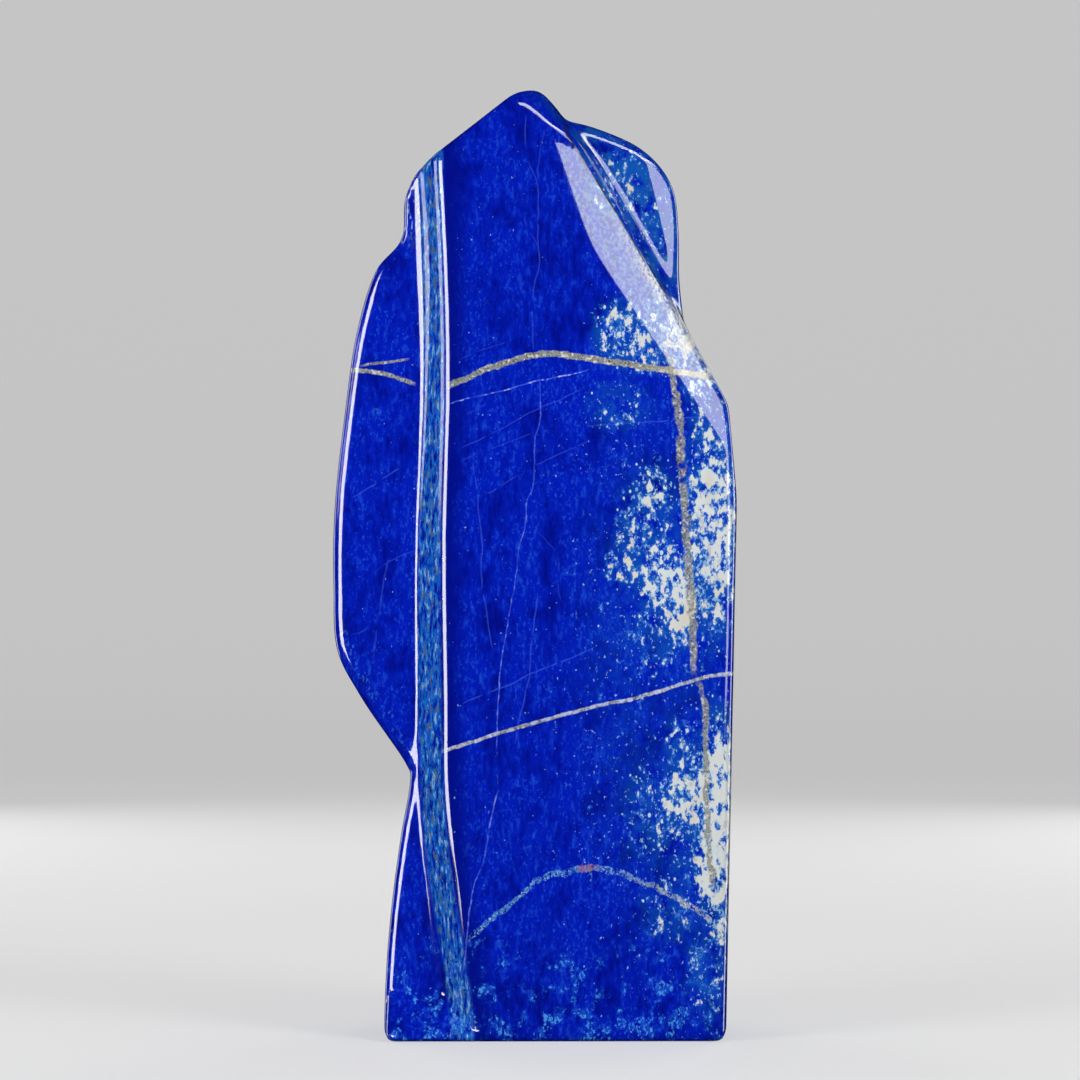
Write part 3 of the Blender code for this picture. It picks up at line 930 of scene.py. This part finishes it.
# %% Draw the cracks
CRACK_VIOLET = (0.050, 0.115, 0.800, 1)
CRACK_WHITE = (0.480, 0.560, 0.860, 1)
UPRIGHT_CRACKS = (
    # strength, half width, line from the bottom up as (z, x)
    (0.75, 0.00050, (
        (-0.0003, -0.0405), (0.0086, -0.0388), (0.0187, -0.0367), (0.0271, -0.0355), (0.0354, -0.0338),
        (0.0438, -0.0326), (0.0506, -0.0321), (0.0623, -0.0309), (0.0749, -0.0284), (0.0858, -0.0242),
        (0.1023, -0.0215), (0.1203, -0.0170),
    )),
    (0.75, 0.00042, (
        (0.1180, -0.0175), (0.1518, -0.0180), (0.1747, -0.0164), (0.1969, -0.0130), (0.2229, -0.0087),
        (0.2316, -0.0080), (0.2432, -0.0048), (0.2548, -0.0039), (0.2625, -0.0010), (0.2712, -0.0003),
        (0.2838, -0.0002), (0.2944, 0.0024), (0.3150, 0.0015),
    )),
    (0.45, 0.00040, (
        (0.3250, -0.0009), (0.3400, -0.0011), (0.3502, -0.0013), (0.3587, -0.0002), (0.3697, 0.0019),
        (0.3773, 0.0013), (0.4028, 0.0013), (0.4113, -0.0011), (0.4181, -0.0036), (0.4257, -0.0046),
        (0.4393, -0.0045),
    )),
    (0.35, 0.00045, ((0.3706, 0.0023), (0.3773, 0.0006), (0.3850, -0.0036), (0.3909, -0.0053))),
    (0.30, 0.00040, ((0.4062, 0.0015), (0.4164, 0.0017), (0.4257, 0.0031), (0.4334, 0.0057))),
    (0.50, 0.00040, (
        (0.1834, -0.0193), (0.1892, -0.0208), (0.2046, -0.0232), (0.2210, -0.0256), (0.2354, -0.0251),
        (0.2528, -0.0271), (0.2644, -0.0280), (0.2750, -0.0300),
    )),
    (0.55, 0.00045, (
        (0.1400, -0.0095), (0.1518, -0.0077), (0.1631, -0.0048), (0.1728, -0.0029), (0.1891, -0.0019),
        (0.2007, 0.0000), (0.2123, 0.0014),
    )),
    (0.30, 0.00045, (
        (0.2065, 0.0130), (0.2161, 0.0106), (0.2277, 0.0111), (0.2354, 0.0063), (0.2422, -0.0024),
    )),
    (0.35, 0.00050, (
        (0.1751, -0.0777), (0.1828, -0.0767), (0.1935, -0.0753), (0.2052, -0.0738), (0.2168, -0.0719),
        (0.2284, -0.0699),
    )),
)
LEVEL_CRACKS = (
    # strength, half width, line from left to right as (x, z)
    (1.00, 0.00045, (
        (-0.0420, 0.3012), (-0.0269, 0.3050), (-0.0179, 0.3070), (-0.0088, 0.3093), (0.0002, 0.3119),
        (0.0093, 0.3137), (0.0184, 0.3154), (0.0275, 0.3185),
    )),
    (0.60, 0.00050, (
        (0.0237, 0.2908), (0.0450, 0.2922), (0.0590, 0.2930), (0.0700, 0.2945), (0.0820, 0.2950),
    )),
    (0.40, 0.00045, (
        (-0.0360, 0.2798), (-0.0179, 0.2885), (0.0002, 0.2984), (0.0111, 0.3030), (0.0238, 0.3093),
    )),
    (0.35, 0.00040, ((-0.0342, 0.2952), (-0.0269, 0.2993), (-0.0200, 0.3030))),
    (0.28, 0.00045, ((-0.0372, 0.2731), (-0.0275, 0.2775), (-0.0150, 0.2822), (0.0000, 0.2880))),
    (0.40, 0.00045, ((-0.0015, 0.2717), (0.0063, 0.2751), (0.0179, 0.2804), (0.0266, 0.2842))),
    (0.28, 0.00040, ((-0.0378, 0.3216), (-0.0260, 0.3265), (-0.0120, 0.3310))),
    (0.40, 0.00045, ((-0.0266, 0.2572), (-0.0198, 0.2601), (-0.0131, 0.2644), (-0.0073, 0.2678))),
    (0.55, 0.00050, (
        (-0.0371, 0.1579), (-0.0236, 0.1641), (-0.0130, 0.1680), (-0.0034, 0.1728), (0.0082, 0.1776),
        (0.0169, 0.1810), (0.0294, 0.1867),
    )),
    (0.60, 0.00045, (
        (-0.0885, 0.2560), (-0.0811, 0.2604), (-0.0748, 0.2643), (-0.0692, 0.2683), (-0.0605, 0.2734),
    )),
    (0.40, 0.00045, ((-0.0889, 0.1916), (-0.0820, 0.1935), (-0.0782, 0.1959))),
    (0.40, 0.00045, ((-0.0772, 0.2207), (-0.0685, 0.2270), (-0.0578, 0.2314))),
    (0.60, 0.00050, ((-0.0820, 0.1717), (-0.0795, 0.1725), (-0.0772, 0.1741))),
)
CRACK_THINNING = 0.72
cracks = 0.0
for upright, group in ((True, UPRIGHT_CRACKS), (False, LEVEL_CRACKS)):
    for strength, half_width, line in group:
        drawn = draw_vein(line, upright, half_width * CRACK_THINNING, wavers=0.0014, gaps=0.40)
        cracks = paint.maths("MAXIMUM", cracks, paint.both(drawn, strength))
colour = paint.tint(colour, CRACK_VIOLET, paint.both(cracks, 0.75))
whitest = paint.both(paint.between(cracks, 0.55, 1.1), paint.between(ragged, 0.45, 0.65))
colour = paint.tint(colour, CRACK_WHITE, whitest)
print("Drew", len(UPRIGHT_CRACKS) + len(LEVEL_CRACKS), "cracks")

# %% [markdown]
# ## White calcite
#
# Calcite grew in crowds of crisp white grains along the right of the stone, with islands of blue left
# between them. Far from the crowds it thins out to single specks. The crowds are given as soft ovals with
# a centre and half sizes. A grain shows where a fine fractal noise is above a limit, and the crowd lowers
# the limit.

# %% Where the calcite crowds
CROWD_INPUTS = (
    ("Place", "Vector", (0, 0, 0)),
    ("Centre", "Vector", (0, 0, 0)),
    ("Half size", "Vector", (1, 1, 1)),
    ("Strength", "Float", 1.0),
)
CROWD_RIM = (1.5, 0.35)
CROWDS = (
    # centre x, centre z, half width, half height, strength
    (0.0840, 0.2420, 0.0170, 0.0600, 0.75),
    (0.0600, 0.2200, 0.0150, 0.0230, 0.74),
    (0.0550, 0.2600, 0.0110, 0.0140, 0.66),
    (0.0480, 0.2400, 0.0130, 0.0200, 0.60),
    (0.0420, 0.2240, 0.0110, 0.0100, 0.66),
    (0.0690, 0.2060, 0.0090, 0.0230, 0.80),
    (0.0560, 0.1930, 0.0200, 0.0200, 0.48),
    (0.0560, 0.2350, 0.0260, 0.0480, 0.42),
    (0.0860, 0.1060, 0.0150, 0.0560, 0.88),
    (0.0700, 0.1140, 0.0150, 0.0260, 0.72),
    (0.0560, 0.1080, 0.0190, 0.0300, 0.50),
    (0.0700, 0.1420, 0.0120, 0.0160, 0.52),
    (0.0720, 0.0860, 0.0120, 0.0200, 0.46),
    (0.0890, 0.0600, 0.0105, 0.0180, 0.70),
    (0.0497, 0.3646, 0.0110, 0.0170, 0.42),
    (0.0591, 0.3480, 0.0120, 0.0160, 0.55),
    (0.0686, 0.3320, 0.0130, 0.0170, 0.84),
    (0.0790, 0.3130, 0.0110, 0.0160, 0.66),
    (0.0440, 0.3350, 0.0190, 0.0200, 0.66),
    (0.0520, 0.3240, 0.0170, 0.0100, 0.56),
    (0.0400, 0.3000, 0.0200, 0.0150, 0.42),
    (0.0820, 0.2960, 0.0130, 0.0120, 0.48),
    (0.0420, 0.4050, 0.0200, 0.0240, 0.50),
    (0.0550, 0.3900, 0.0160, 0.0260, 0.46),
    (0.0460, 0.3960, 0.0060, 0.0050, 0.62),
    (0.0820, 0.0320, 0.0150, 0.0300, 0.45),
    (0.0640, 0.0620, 0.0200, 0.0200, 0.42),
    (0.0550, 0.1750, 0.0480, 0.1700, 0.27),
)


def crowd_group():
    """How dense the calcite is around one centre."""
    tree = new_tree("Calcite crowd", "ShaderNodeTree", CROWD_INPUTS, ("Density", "Float"))
    bench = Painter(tree)
    given = bench.add("NodeGroupInput").outputs
    beside = bench.vector("SUBTRACT", given["Place"], given["Centre"])
    away = bench.vector("LENGTH", bench.vector("DIVIDE", beside, given["Half size"]))
    density = bench.both(bench.between(away, *CROWD_RIM), given["Strength"])
    bench.add("NodeGroupOutput", {"Density": density})
    return tree


crowd_tree = crowd_group()
seen_in_front = paint.add("ShaderNodeCombineXYZ", {"X": x, "Z": z}).outputs[0]
crowded = 0.0
for centre_x, centre_z, half_width, half_height, strength in CROWDS:
    values = {
        "Place": seen_in_front,
        "Centre": (centre_x, 0, centre_z),
        "Half size": (half_width, 1, half_height),
        "Strength": strength,
    }
    one = paint.add("ShaderNodeGroup", node_tree=crowd_tree, inputs=values).outputs[0]
    crowded = paint.maths("MAXIMUM", crowded, one)
print("Placed", len(CROWDS), "crowds of calcite")

# %% [markdown]
# The noise has to be crisp, as real grains are: the step from blue to white is only a quarter of a
# millimetre. Small round specks lie around each crowd. They are the middles of the cells of a cell noise,
# each with a size of its own, so some vanish and a few are large.

# %% Grains of calcite
CALCITE_WHITE = (0.680, 0.720, 0.710, 1)
CALCITE_CREAM = (0.660, 0.590, 0.450, 1)
CALCITE_GREY = (0.430, 0.440, 0.520, 1)
CALCITE_LIMIT = 0.80
CROWD_PULL = 0.425
GRAIN_RIM = 0.050
grains = paint.noise(rock, 0.0040, stretch=(1, 1, 1.45), seed=41.0, detail=4.0, roughness=0.60)
limit = paint.lowered(CALCITE_LIMIT, crowded, CROWD_PULL)
calcite = paint.above(grains, limit, GRAIN_RIM)
creamy_noise = paint.noise(rock, 0.016, stretch=(1, 1, 2), seed=42.0, detail=2.0)
greyed_noise = paint.noise(rock, 0.0035, stretch=(1, 1, 1.5), seed=43.0, detail=3.0)
creamy = paint.between(creamy_noise, 0.50, 0.66)
greyed = paint.between(greyed_noise, 0.56, 0.68)
white = paint.tint(CALCITE_WHITE, CALCITE_CREAM, paint.both(creamy, 0.65))
white = paint.tint(white, CALCITE_GREY, paint.both(greyed, 0.55))
print("A grain shows where the noise is above", CALCITE_LIMIT, "less", CROWD_PULL, "in a full crowd")

# %% Round specks
SPECK_WHITE = (0.530, 0.720, 0.850, 1)
SPECK_CELL = 0.0030
UPRIGHT_SCALE = 0.7
SPECK_SHARE = 0.8
LARGEST_SPECK = 0.50
cell_scale = (1 / SPECK_CELL, 1 / SPECK_CELL, UPRIGHT_SCALE / SPECK_CELL)
cells = paint.add("ShaderNodeMapping", {"Vector": rock, "Scale": cell_scale})
voronoi = paint.add("ShaderNodeTexVoronoi", {"Vector": cells.outputs[0], "Scale": 1.0})
lot = paint.add("ShaderNodeSeparateColor", {0: voronoi.outputs["Color"]}).outputs[0]
winner = paint.between(lot, paint.lowered(1.0, crowded, SPECK_SHARE), 1.25)
speck_size = paint.both(winner, LARGEST_SPECK)
speck = paint.between(voronoi.outputs["Distance"], speck_size, paint.both(speck_size, 0.6))
speck = paint.both(speck, paint.between(crowded, 0.05, 0.25))
print("The specks stay under", 2000 * SPECK_CELL * LARGEST_SPECK, "mm across")

# %% [markdown]
# Around a crowd the blue turns to teal, each grain has a lighter rim, and the finest calcite lies between
# the grains as dust. These are laid on first, then the grains, and the specks last.

# %% Teal, rims, dust, grains and specks
CROWD_TEAL = (0.006, 0.090, 0.450, 1)
DUST_BLUE = (0.280, 0.520, 0.760, 1)
DUST_LIMIT = 0.725
DUST_PULL = 0.24
DUST_RIM = 0.05
near_crowd = paint.both(paint.between(crowded, 0.12, 0.60), paint.between(cloud, 0.34, 0.60))
colour = paint.tint(colour, CROWD_TEAL, paint.both(near_crowd, 0.70))
halo = paint.between(grains, paint.maths("SUBTRACT", limit, 0.07), limit)
colour = paint.tint(colour, SKY_FLECK, paint.both(halo, 0.45))
dust = paint.noise(rock, 0.0016, stretch=(1, 1, 1.3), seed=44.0, detail=2.0, roughness=0.6)
dusty = paint.above(dust, paint.lowered(DUST_LIMIT, crowded, DUST_PULL), DUST_RIM)
colour = paint.tint(colour, DUST_BLUE, paint.both(dusty, 0.8))
colour = paint.tint(colour, white, calcite)
colour = paint.tint(colour, SPECK_WHITE, paint.both(speck, 0.9))
calcite = paint.either(calcite, speck)
print("The recipe has", len(lapis.node_tree.nodes), "nodes by now")

# %% [markdown]
# ## The bevel's dust, its painted sheen, and the dark seam
#
# The bevel is dusted all over, and cream-coloured low down along its outer edge. The pale blue dust stands
# partly for fine calcite in the layer it cuts, and partly for a painted reflection of the softbox on the
# bevel. The dust ends at the two lines that bound the bevel. The outer one follows the line where the plate
# meets the shoulder behind it, and a thin dark line is drawn along it.

# %% Dust and a painted sheen on the bevel
BEVEL_DUST_AND_SHEEN = (0.130, 0.260, 0.500, 1)
BEVEL_LINE = (
    (0.3000, 0.0700), (0.3412, 0.0497), (0.3458, 0.0473), (0.3636, 0.0343), (0.3861, 0.0222),
    (0.4259, 0.0085),
)
SEAM_LINE = (
    (0.3153, 0.0858), (0.3295, 0.0784), (0.3462, 0.0680), (0.3628, 0.0565), (0.3818, 0.0447),
    (0.4032, 0.0318), (0.4223, 0.0194), (0.4370, 0.0120),
)
BEVEL_FROM = (0.310, 0.335)
BEVEL_UNTIL = (0.427, 0.420)
beside_bevel = drawn_sheet(z, x, BEVEL_LINE)
beside_seam = drawn_sheet(z, x, SEAM_LINE)
on_bevel = paint.both(paint.between(beside_bevel, 0.0, 0.003), paint.between(beside_seam, 0.001, -0.001))
on_bevel = paint.both(on_bevel, in_front, paint.between(z, *BEVEL_FROM), paint.between(z, *BEVEL_UNTIL))
# Painted reflection: the pale blue over the bevel also stands for the softbox's veil on it.
dust_and_painted_sheen = paint.both(on_bevel, paint.between(dust, 0.42, 0.62))
colour = paint.tint(colour, BEVEL_DUST_AND_SHEEN, paint.both(dust_and_painted_sheen, 0.75))
lower_edge = paint.both(paint.between(beside_seam, -0.009, -0.002), paint.between(z, 0.405, 0.350))
cream_edge = paint.both(on_bevel, lower_edge, paint.between(fine_grain, 0.40, 0.58))
colour = paint.tint(colour, CALCITE_CREAM, paint.both(cream_edge, 0.75))
print("The dust lies between", BEVEL_FROM[0], "and", BEVEL_UNTIL[0], "m up")

# %% The dark seam
SEAM_BROWN = (0.020, 0.014, 0.012, 1)
seam = draw_vein(SEAM_LINE, True, 0.00055, wavers=0.0020, gaps=0.42)
# A thin, nearly black line drawn along the crease between the plate and the shoulder.
colour = paint.tint(colour, SEAM_BROWN, paint.both(seam, in_front, 0.85))
print("The seam runs from", SEAM_LINE[0][0], "to", SEAM_LINE[-1][0], "m up")

# %% [markdown]
# ## Grey veins with pyrite
#
# The broad veins are granular: grey and olive grains, white ones, and some fool's gold. One bows over the
# upper part of the face and forks on the wing. A ragged upright one runs down the right side. A thin
# bright one climbs to the right in the middle, and one arches over the cloudy foot of the face, with a
# pink grain at its crown.

# %% Lines of the veins
UPPER_VEIN = (
    (-0.0425, 0.3098), (-0.0333, 0.3129), (-0.0242, 0.3175), (-0.0152, 0.3202), (-0.0061, 0.3232),
    (0.0021, 0.3247), (0.0093, 0.3250), (0.0166, 0.3241), (0.0329, 0.3216), (0.0510, 0.3191),
    (0.0637, 0.3171), (0.0719, 0.3160), (0.0850, 0.3145),
)
UPRIGHT_VEIN = (
    (0.1690, 0.0752), (0.1800, 0.0747), (0.1897, 0.0749), (0.1984, 0.0747), (0.2159, 0.0732),
    (0.2334, 0.0719), (0.2509, 0.0710), (0.2684, 0.0698), (0.2859, 0.0689), (0.2947, 0.0685),
    (0.3026, 0.0672), (0.3150, 0.0655), (0.3300, 0.0620),
)
LOWER_UPRIGHT_VEIN = (
    (0.0700, 0.0838), (0.0808, 0.0835), (0.0940, 0.0815), (0.1073, 0.0812), (0.1205, 0.0806),
    (0.1350, 0.0809), (0.1503, 0.0810), (0.1569, 0.0800), (0.1648, 0.0783), (0.1730, 0.0747),
)
MIDDLE_VEIN = (
    (-0.0450, 0.1365), (-0.0250, 0.1430), (0.0043, 0.1518), (0.0178, 0.1554), (0.0354, 0.1598),
    (0.0458, 0.1615), (0.0525, 0.1638), (0.0604, 0.1658), (0.0671, 0.1681), (0.0790, 0.1715),
    (0.0856, 0.1729), (0.0980, 0.1738),
)
ARCH_VEIN = (
    (-0.0325, 0.0478), (-0.0250, 0.0543), (-0.0174, 0.0606), (-0.0107, 0.0656), (-0.0039, 0.0719),
    (0.0020, 0.0770), (0.0121, 0.0795), (0.0256, 0.0820), (0.0323, 0.0815), (0.0466, 0.0769),
    (0.0609, 0.0711), (0.0727, 0.0643), (0.0795, 0.0597), (0.0845, 0.0547), (0.0900, 0.0460),
)
WING_FORK_LOW = (
    (-0.0900, 0.3178), (-0.0812, 0.3173), (-0.0748, 0.3165), (-0.0693, 0.3153), (-0.0637, 0.3133),
    (-0.0560, 0.3106),
)
WING_FORK_HIGH = (
    (-0.0843, 0.3190), (-0.0812, 0.3201), (-0.0756, 0.3209), (-0.0709, 0.3213), (-0.0590, 0.3232),
)
print("The arch is drawn through", len(ARCH_VEIN), "points")

# %% Draw the veins
CROWN_FROM = (0.0190, 0.0215)
CROWN_UNTIL = (0.0310, 0.0275)
upper = draw_vein(UPPER_VEIN, False, 0.00150, wavers=0.0009)
upright = paint.either(
    paint.both(draw_vein(UPRIGHT_VEIN, True, 0.00180, wavers=0.0048, gaps=0.36, fade=0.012), 0.85),
    paint.both(draw_vein(LOWER_UPRIGHT_VEIN, True, 0.00130, wavers=0.0048, gaps=0.36, fade=0.008), 0.85),
)
middle_vein = draw_vein(MIDDLE_VEIN, False, 0.00085, wavers=0.0010, gaps=0.34)
arch = draw_vein(ARCH_VEIN, False, 0.00150, wavers=0.0036, gaps=0.34)
crown = paint.both(arch, paint.between(x, *CROWN_FROM), paint.between(x, *CROWN_UNTIL))
fork = paint.either(
    draw_vein(WING_FORK_LOW, False, 0.00100, wavers=0.0008),
    paint.both(draw_vein(WING_FORK_HIGH, False, 0.00060, wavers=0.0008, gaps=0.30), 0.9),
)
arch_ore = paint.both(arch, paint.between(x, 0.034, 0.070), paint.between(fine_grain, 0.42, 0.52))
veins = paint.either(upper, upright, middle_vein, arch_ore, fork)
print("The recipe has", len(lapis.node_tree.nodes), "nodes by now")

# %% [markdown]
# The ore in the veins is made of granules, so two fine noises choose between its colours. The arch is
# mostly blue dust, with ore at its right end only.

# %% Colour the veins
VEIN_GREY = (0.270, 0.300, 0.300, 1)
VEIN_OLIVE = (0.105, 0.105, 0.060, 1)
VEIN_PALE = (0.660, 0.660, 0.600, 1)
VEIN_GOLD = (0.330, 0.190, 0.060, 1)
ARCH_BLUE = (0.070, 0.240, 0.560, 1)
CROWN_PINK = (0.300, 0.150, 0.260, 1)
granules = paint.noise(rock, 0.0011, seed=51.0, detail=2.0, roughness=0.7)
granules_too = paint.noise(rock, 0.0017, seed=52.0, detail=2.0, roughness=0.6)
ore = paint.tint(VEIN_GREY, VEIN_OLIVE, paint.between(granules, 0.50, 0.62))
ore = paint.tint(ore, VEIN_PALE, paint.between(granules_too, 0.54, 0.66))
gold = paint.both(paint.between(granules, 0.40, 0.30), paint.between(granules_too, 0.52, 0.40))
ore = paint.tint(ore, VEIN_GOLD, gold)
ore = paint.tint(ore, CALCITE_CREAM, paint.both(upper, paint.between(x, 0.040, 0.075), 0.5))
thin_and_pale = paint.either(paint.both(middle_vein, 0.75), paint.both(arch, 0.5))
ore = paint.tint(ore, CRACK_WHITE, paint.both(thin_and_pale, paint.between(ragged, 0.42, 0.58)))
colour = paint.tint(colour, ARCH_BLUE, paint.both(arch, paint.between(fine_grain, 0.43, 0.56), 0.85))
colour = paint.tint(colour, DUST_BLUE, paint.both(arch, paint.between(granules, 0.54, 0.64), 0.85))
pink = paint.both(crown, in_front, paint.between(ragged, 0.30, 0.50))
colour = paint.tint(colour, CROWN_PINK, paint.both(pink, 0.8))
colour = paint.tint(colour, ore, veins)
print("The finished recipe has", len(lapis.node_tree.nodes), "nodes")

# %% [markdown]
# ## Polish
#
# The blue takes the best polish. Calcite is softer and keeps a fine haze, and the veins stay a little
# rough. Pyrite shines like a metal, so its few grains are metallic. The softer minerals also wear down by
# a hair, which a faint bump shows.

# %% Gloss and relief
BLUE_ROUGHNESS = 0.07
CALCITE_ROUGHNESS = 0.16
VEIN_ROUGHNESS = 0.24
CALCITE_WEAR = 0.4
VEIN_WEAR = 0.9
RELIEF = 0.00004
LAPIS_IOR = 1.52
rough = paint.maths("ADD", BLUE_ROUGHNESS, paint.both(calcite, CALCITE_ROUGHNESS - BLUE_ROUGHNESS))
rough = paint.either(rough, paint.both(veins, VEIN_ROUGHNESS))
worn = paint.either(paint.both(calcite, CALCITE_WEAR), paint.both(veins, VEIN_WEAR))
pitting = paint.noise(rock, 0.0009, seed=61.0, detail=1.0)
relief = paint.add("ShaderNodeBump", {"Height": pitting, "Strength": worn, "Distance": RELIEF})
for name, value in {
    "Base Color": colour,
    "Roughness": rough,
    "Metallic": paint.both(gold, veins, 0.8),
    "Normal": relief.outputs[0],
}.items():
    lapis.node_tree.links.new(value, shader.inputs[name])
shader.inputs["IOR"].default_value = LAPIS_IOR
print("Roughness runs from", BLUE_ROUGHNESS, "on the blue to", VEIN_ROUGHNESS, "in the veins")

# %% [markdown]
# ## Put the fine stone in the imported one's place
#
# The fine stone rides on the stone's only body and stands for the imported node, which the physics keeps
# for its collisions.

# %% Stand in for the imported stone
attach(stone, "root")
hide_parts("stone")
print("lapis_stone replaces the packed node", stone_node.name)

# %% [markdown]
# ## A pale studio
#
# The floor turns up into a wall all round, like a photographer's sweep, so there is no corner behind the
# stone from any side. The sweep is seen and takes the stone's shadow, but it isn't mirrored in the stone:
# dark lapis on a white sweep would look milky, and photographers hang black cloth around a glossy stone
# for that reason. A faint glow of its own keeps it pale far from the lamps as well.

# %% The sweep
SWEEP_FLOOR = 3.2
SWEEP_BEND = 1.2
SWEEP_WALL = 3.0
SWEEP_GREY = 0.40
SWEEP_GLOW = 0.44
SWEEP_SIDES = 96
BEND_STEPS = 12


def sweep_profile():
    """From the middle of the floor out, round the bend and up the wall, as (distance, height)."""
    corner = [
        (SWEEP_FLOOR + SWEEP_BEND * np.sin(turn), SWEEP_BEND * (1 - np.cos(turn)))
        for turn in np.linspace(0, np.pi / 2, BEND_STEPS + 1)
    ]
    return [(0.0, 0.0), (SWEEP_FLOOR / 2, 0.0), *corner, (SWEEP_FLOOR + SWEEP_BEND, SWEEP_WALL)]


turning = bmesh.new()
rim = [turning.verts.new((out, 0, up)) for out, up in sweep_profile()]
edges = [turning.edges.new(pair) for pair in zip(rim, rim[1:])]
full_turn = {"cent": (0, 0, 0), "axis": (0, 0, 1), "angle": 2 * np.pi, "steps": SWEEP_SIDES}
bmesh.ops.spin(turning, geom=rim + edges, use_merge=True, **full_turn)
bmesh.ops.remove_doubles(turning, verts=turning.verts, dist=0.0001)
bmesh.ops.recalc_face_normals(turning, faces=turning.faces)
bmesh.ops.reverse_faces(turning, faces=turning.faces)
sweep_mesh = bpy.data.meshes.new("studio_sweep")
turning.to_mesh(sweep_mesh)
turning.free()
sweep_mesh.shade_smooth()
sweep = bpy.data.objects.new("studio_sweep", sweep_mesh)
bpy.context.scene.collection.objects.link(sweep)
sweep_paint = bpy.data.materials.new("Pale sweep")
sweep_paint.use_nodes = True
sweep_shader = sweep_paint.node_tree.nodes["Principled BSDF"]
sweep_shader.inputs["Base Color"].default_value = (SWEEP_GREY,) * 3 + (1,)
sweep_shader.inputs["Roughness"].default_value = 0.8
sweep_shader.inputs["Emission Color"].default_value = (1, 1, 1, 1)
sweep_shader.inputs["Emission Strength"].default_value = SWEEP_GLOW
sweep_mesh.materials.append(sweep_paint)
sweep.visible_glossy = False
sweep.visible_diffuse = False
print("The sweep is", 2 * (SWEEP_FLOOR + SWEEP_BEND), "m across")

# %% [markdown]
# ## Light
#
# A glossy dark stone shows two kinds of light apart. What it mirrors draws the shape: softboxes at the
# sides make the white lines along the rounded edges and the pale veil over the bevel, and a long one
# overhead makes the rims at the top. What reaches its grains brings out the colour. So the lamps are in
# two sets here. The first is only seen in the polish and the second only lights the grains, and each can
# be set without upsetting the other.

# %% Softboxes
SKY_GREY = 0.22
MIRRORED_LAMPS = {
    # name: azimuth in degrees, distance, height above the stone's middle, width, height, its brightness
    "left front softbox": (-36, 3.0, 0.29, 1.20, 1.34, 17.0),
    "left side softbox": (-72, 3.0, 0.56, 0.85, 0.60, 7.0),
    "right softbox": (49, 1.5, 0.578, 0.60, 1.37, 7.5),
    "overhead softbox": (40, 0.92, 0.92, 1.30, 0.20, 12.0),
    "left back softbox": (-128, 1.8, 0.20, 0.60, 1.40, 4.0),
    "right back softbox": (128, 1.8, 0.20, 0.60, 1.40, 4.0),
}
COLOUR_LAMPS = {
    "left light": (-50, 1.5, 0.20, 0.60, 1.60, 5.9),
    "right light": (47, 1.5, 0.20, 0.60, 1.60, 6.0),
    "left back light": (-150, 1.8, 0.30, 0.60, 1.60, 4.0),
    "right back light": (150, 1.8, 0.30, 0.60, 1.60, 4.0),
}
middle = Vector((0, 0, stone_high.z / 2))


def hang_lamp(name, azimuth, away, above, wide, tall, brightness):
    """A rectangular softbox that faces the stone. Its watts follow from how bright its cloth is."""
    light = bpy.data.lights.new(name, "AREA")
    light.shape = "RECTANGLE"
    light.size = wide
    light.size_y = tall
    light.energy = brightness * np.pi * wide * tall
    lamp = bpy.data.objects.new(name, light)
    bpy.context.scene.collection.objects.link(lamp)
    turn = np.radians(azimuth)
    lamp.location = middle + Vector((np.sin(turn) * away, -np.cos(turn) * away, above))
    lamp.rotation_euler = (lamp.location - middle).to_track_quat("Z", "Y").to_euler()
    lamp.visible_camera = False
    return lamp


for name, lamp_size in MIRRORED_LAMPS.items():
    hang_lamp(name, *lamp_size).visible_diffuse = False
for name, lamp_size in COLOUR_LAMPS.items():
    hang_lamp(name, *lamp_size).visible_glossy = False
sky = bpy.data.worlds.new("Even grey sky")
sky.use_nodes = True
sky.node_tree.nodes["Background"].inputs["Color"].default_value = (1, 1, 1, 1)
sky.node_tree.nodes["Background"].inputs["Strength"].default_value = SKY_GREY
sky.cycles_visibility.glossy = False
bpy.context.scene.world = sky
bpy.context.scene.view_settings.view_transform = "Standard"
print("Hung", len(MIRRORED_LAMPS) + len(COLOUR_LAMPS), "lamps")

# %% [markdown]
# ## Camera
#
# The photograph seems to have been taken level with the middle of the stone, straight at its broad face,
# from a little over two metres with a long lens. The Standard view keeps the blue as deep as it is; a
# film-like view would wash it out.

# %% Camera
CAMERA_AWAY = 2.2
CAMERA_SIDE = 0.0023
CAMERA_HEIGHT = 0.2368
LENS_IN_IMAGE_WIDTHS = 4548 / 1080
camera_data = bpy.data.cameras.new("camera")
camera_data.sensor_width = 36.0
camera_data.lens = LENS_IN_IMAGE_WIDTHS * camera_data.sensor_width
camera_data.clip_end = 20.0
camera = bpy.data.objects.new("camera", camera_data)
bpy.context.scene.collection.objects.link(camera)
camera.location = Vector((CAMERA_SIDE, -CAMERA_AWAY, CAMERA_HEIGHT)) + Vector(drawing_step)
camera.rotation_euler = (np.pi / 2, 0, 0)
bpy.context.scene.camera = camera
print("The lens is", round(camera_data.lens, 1), "mm")
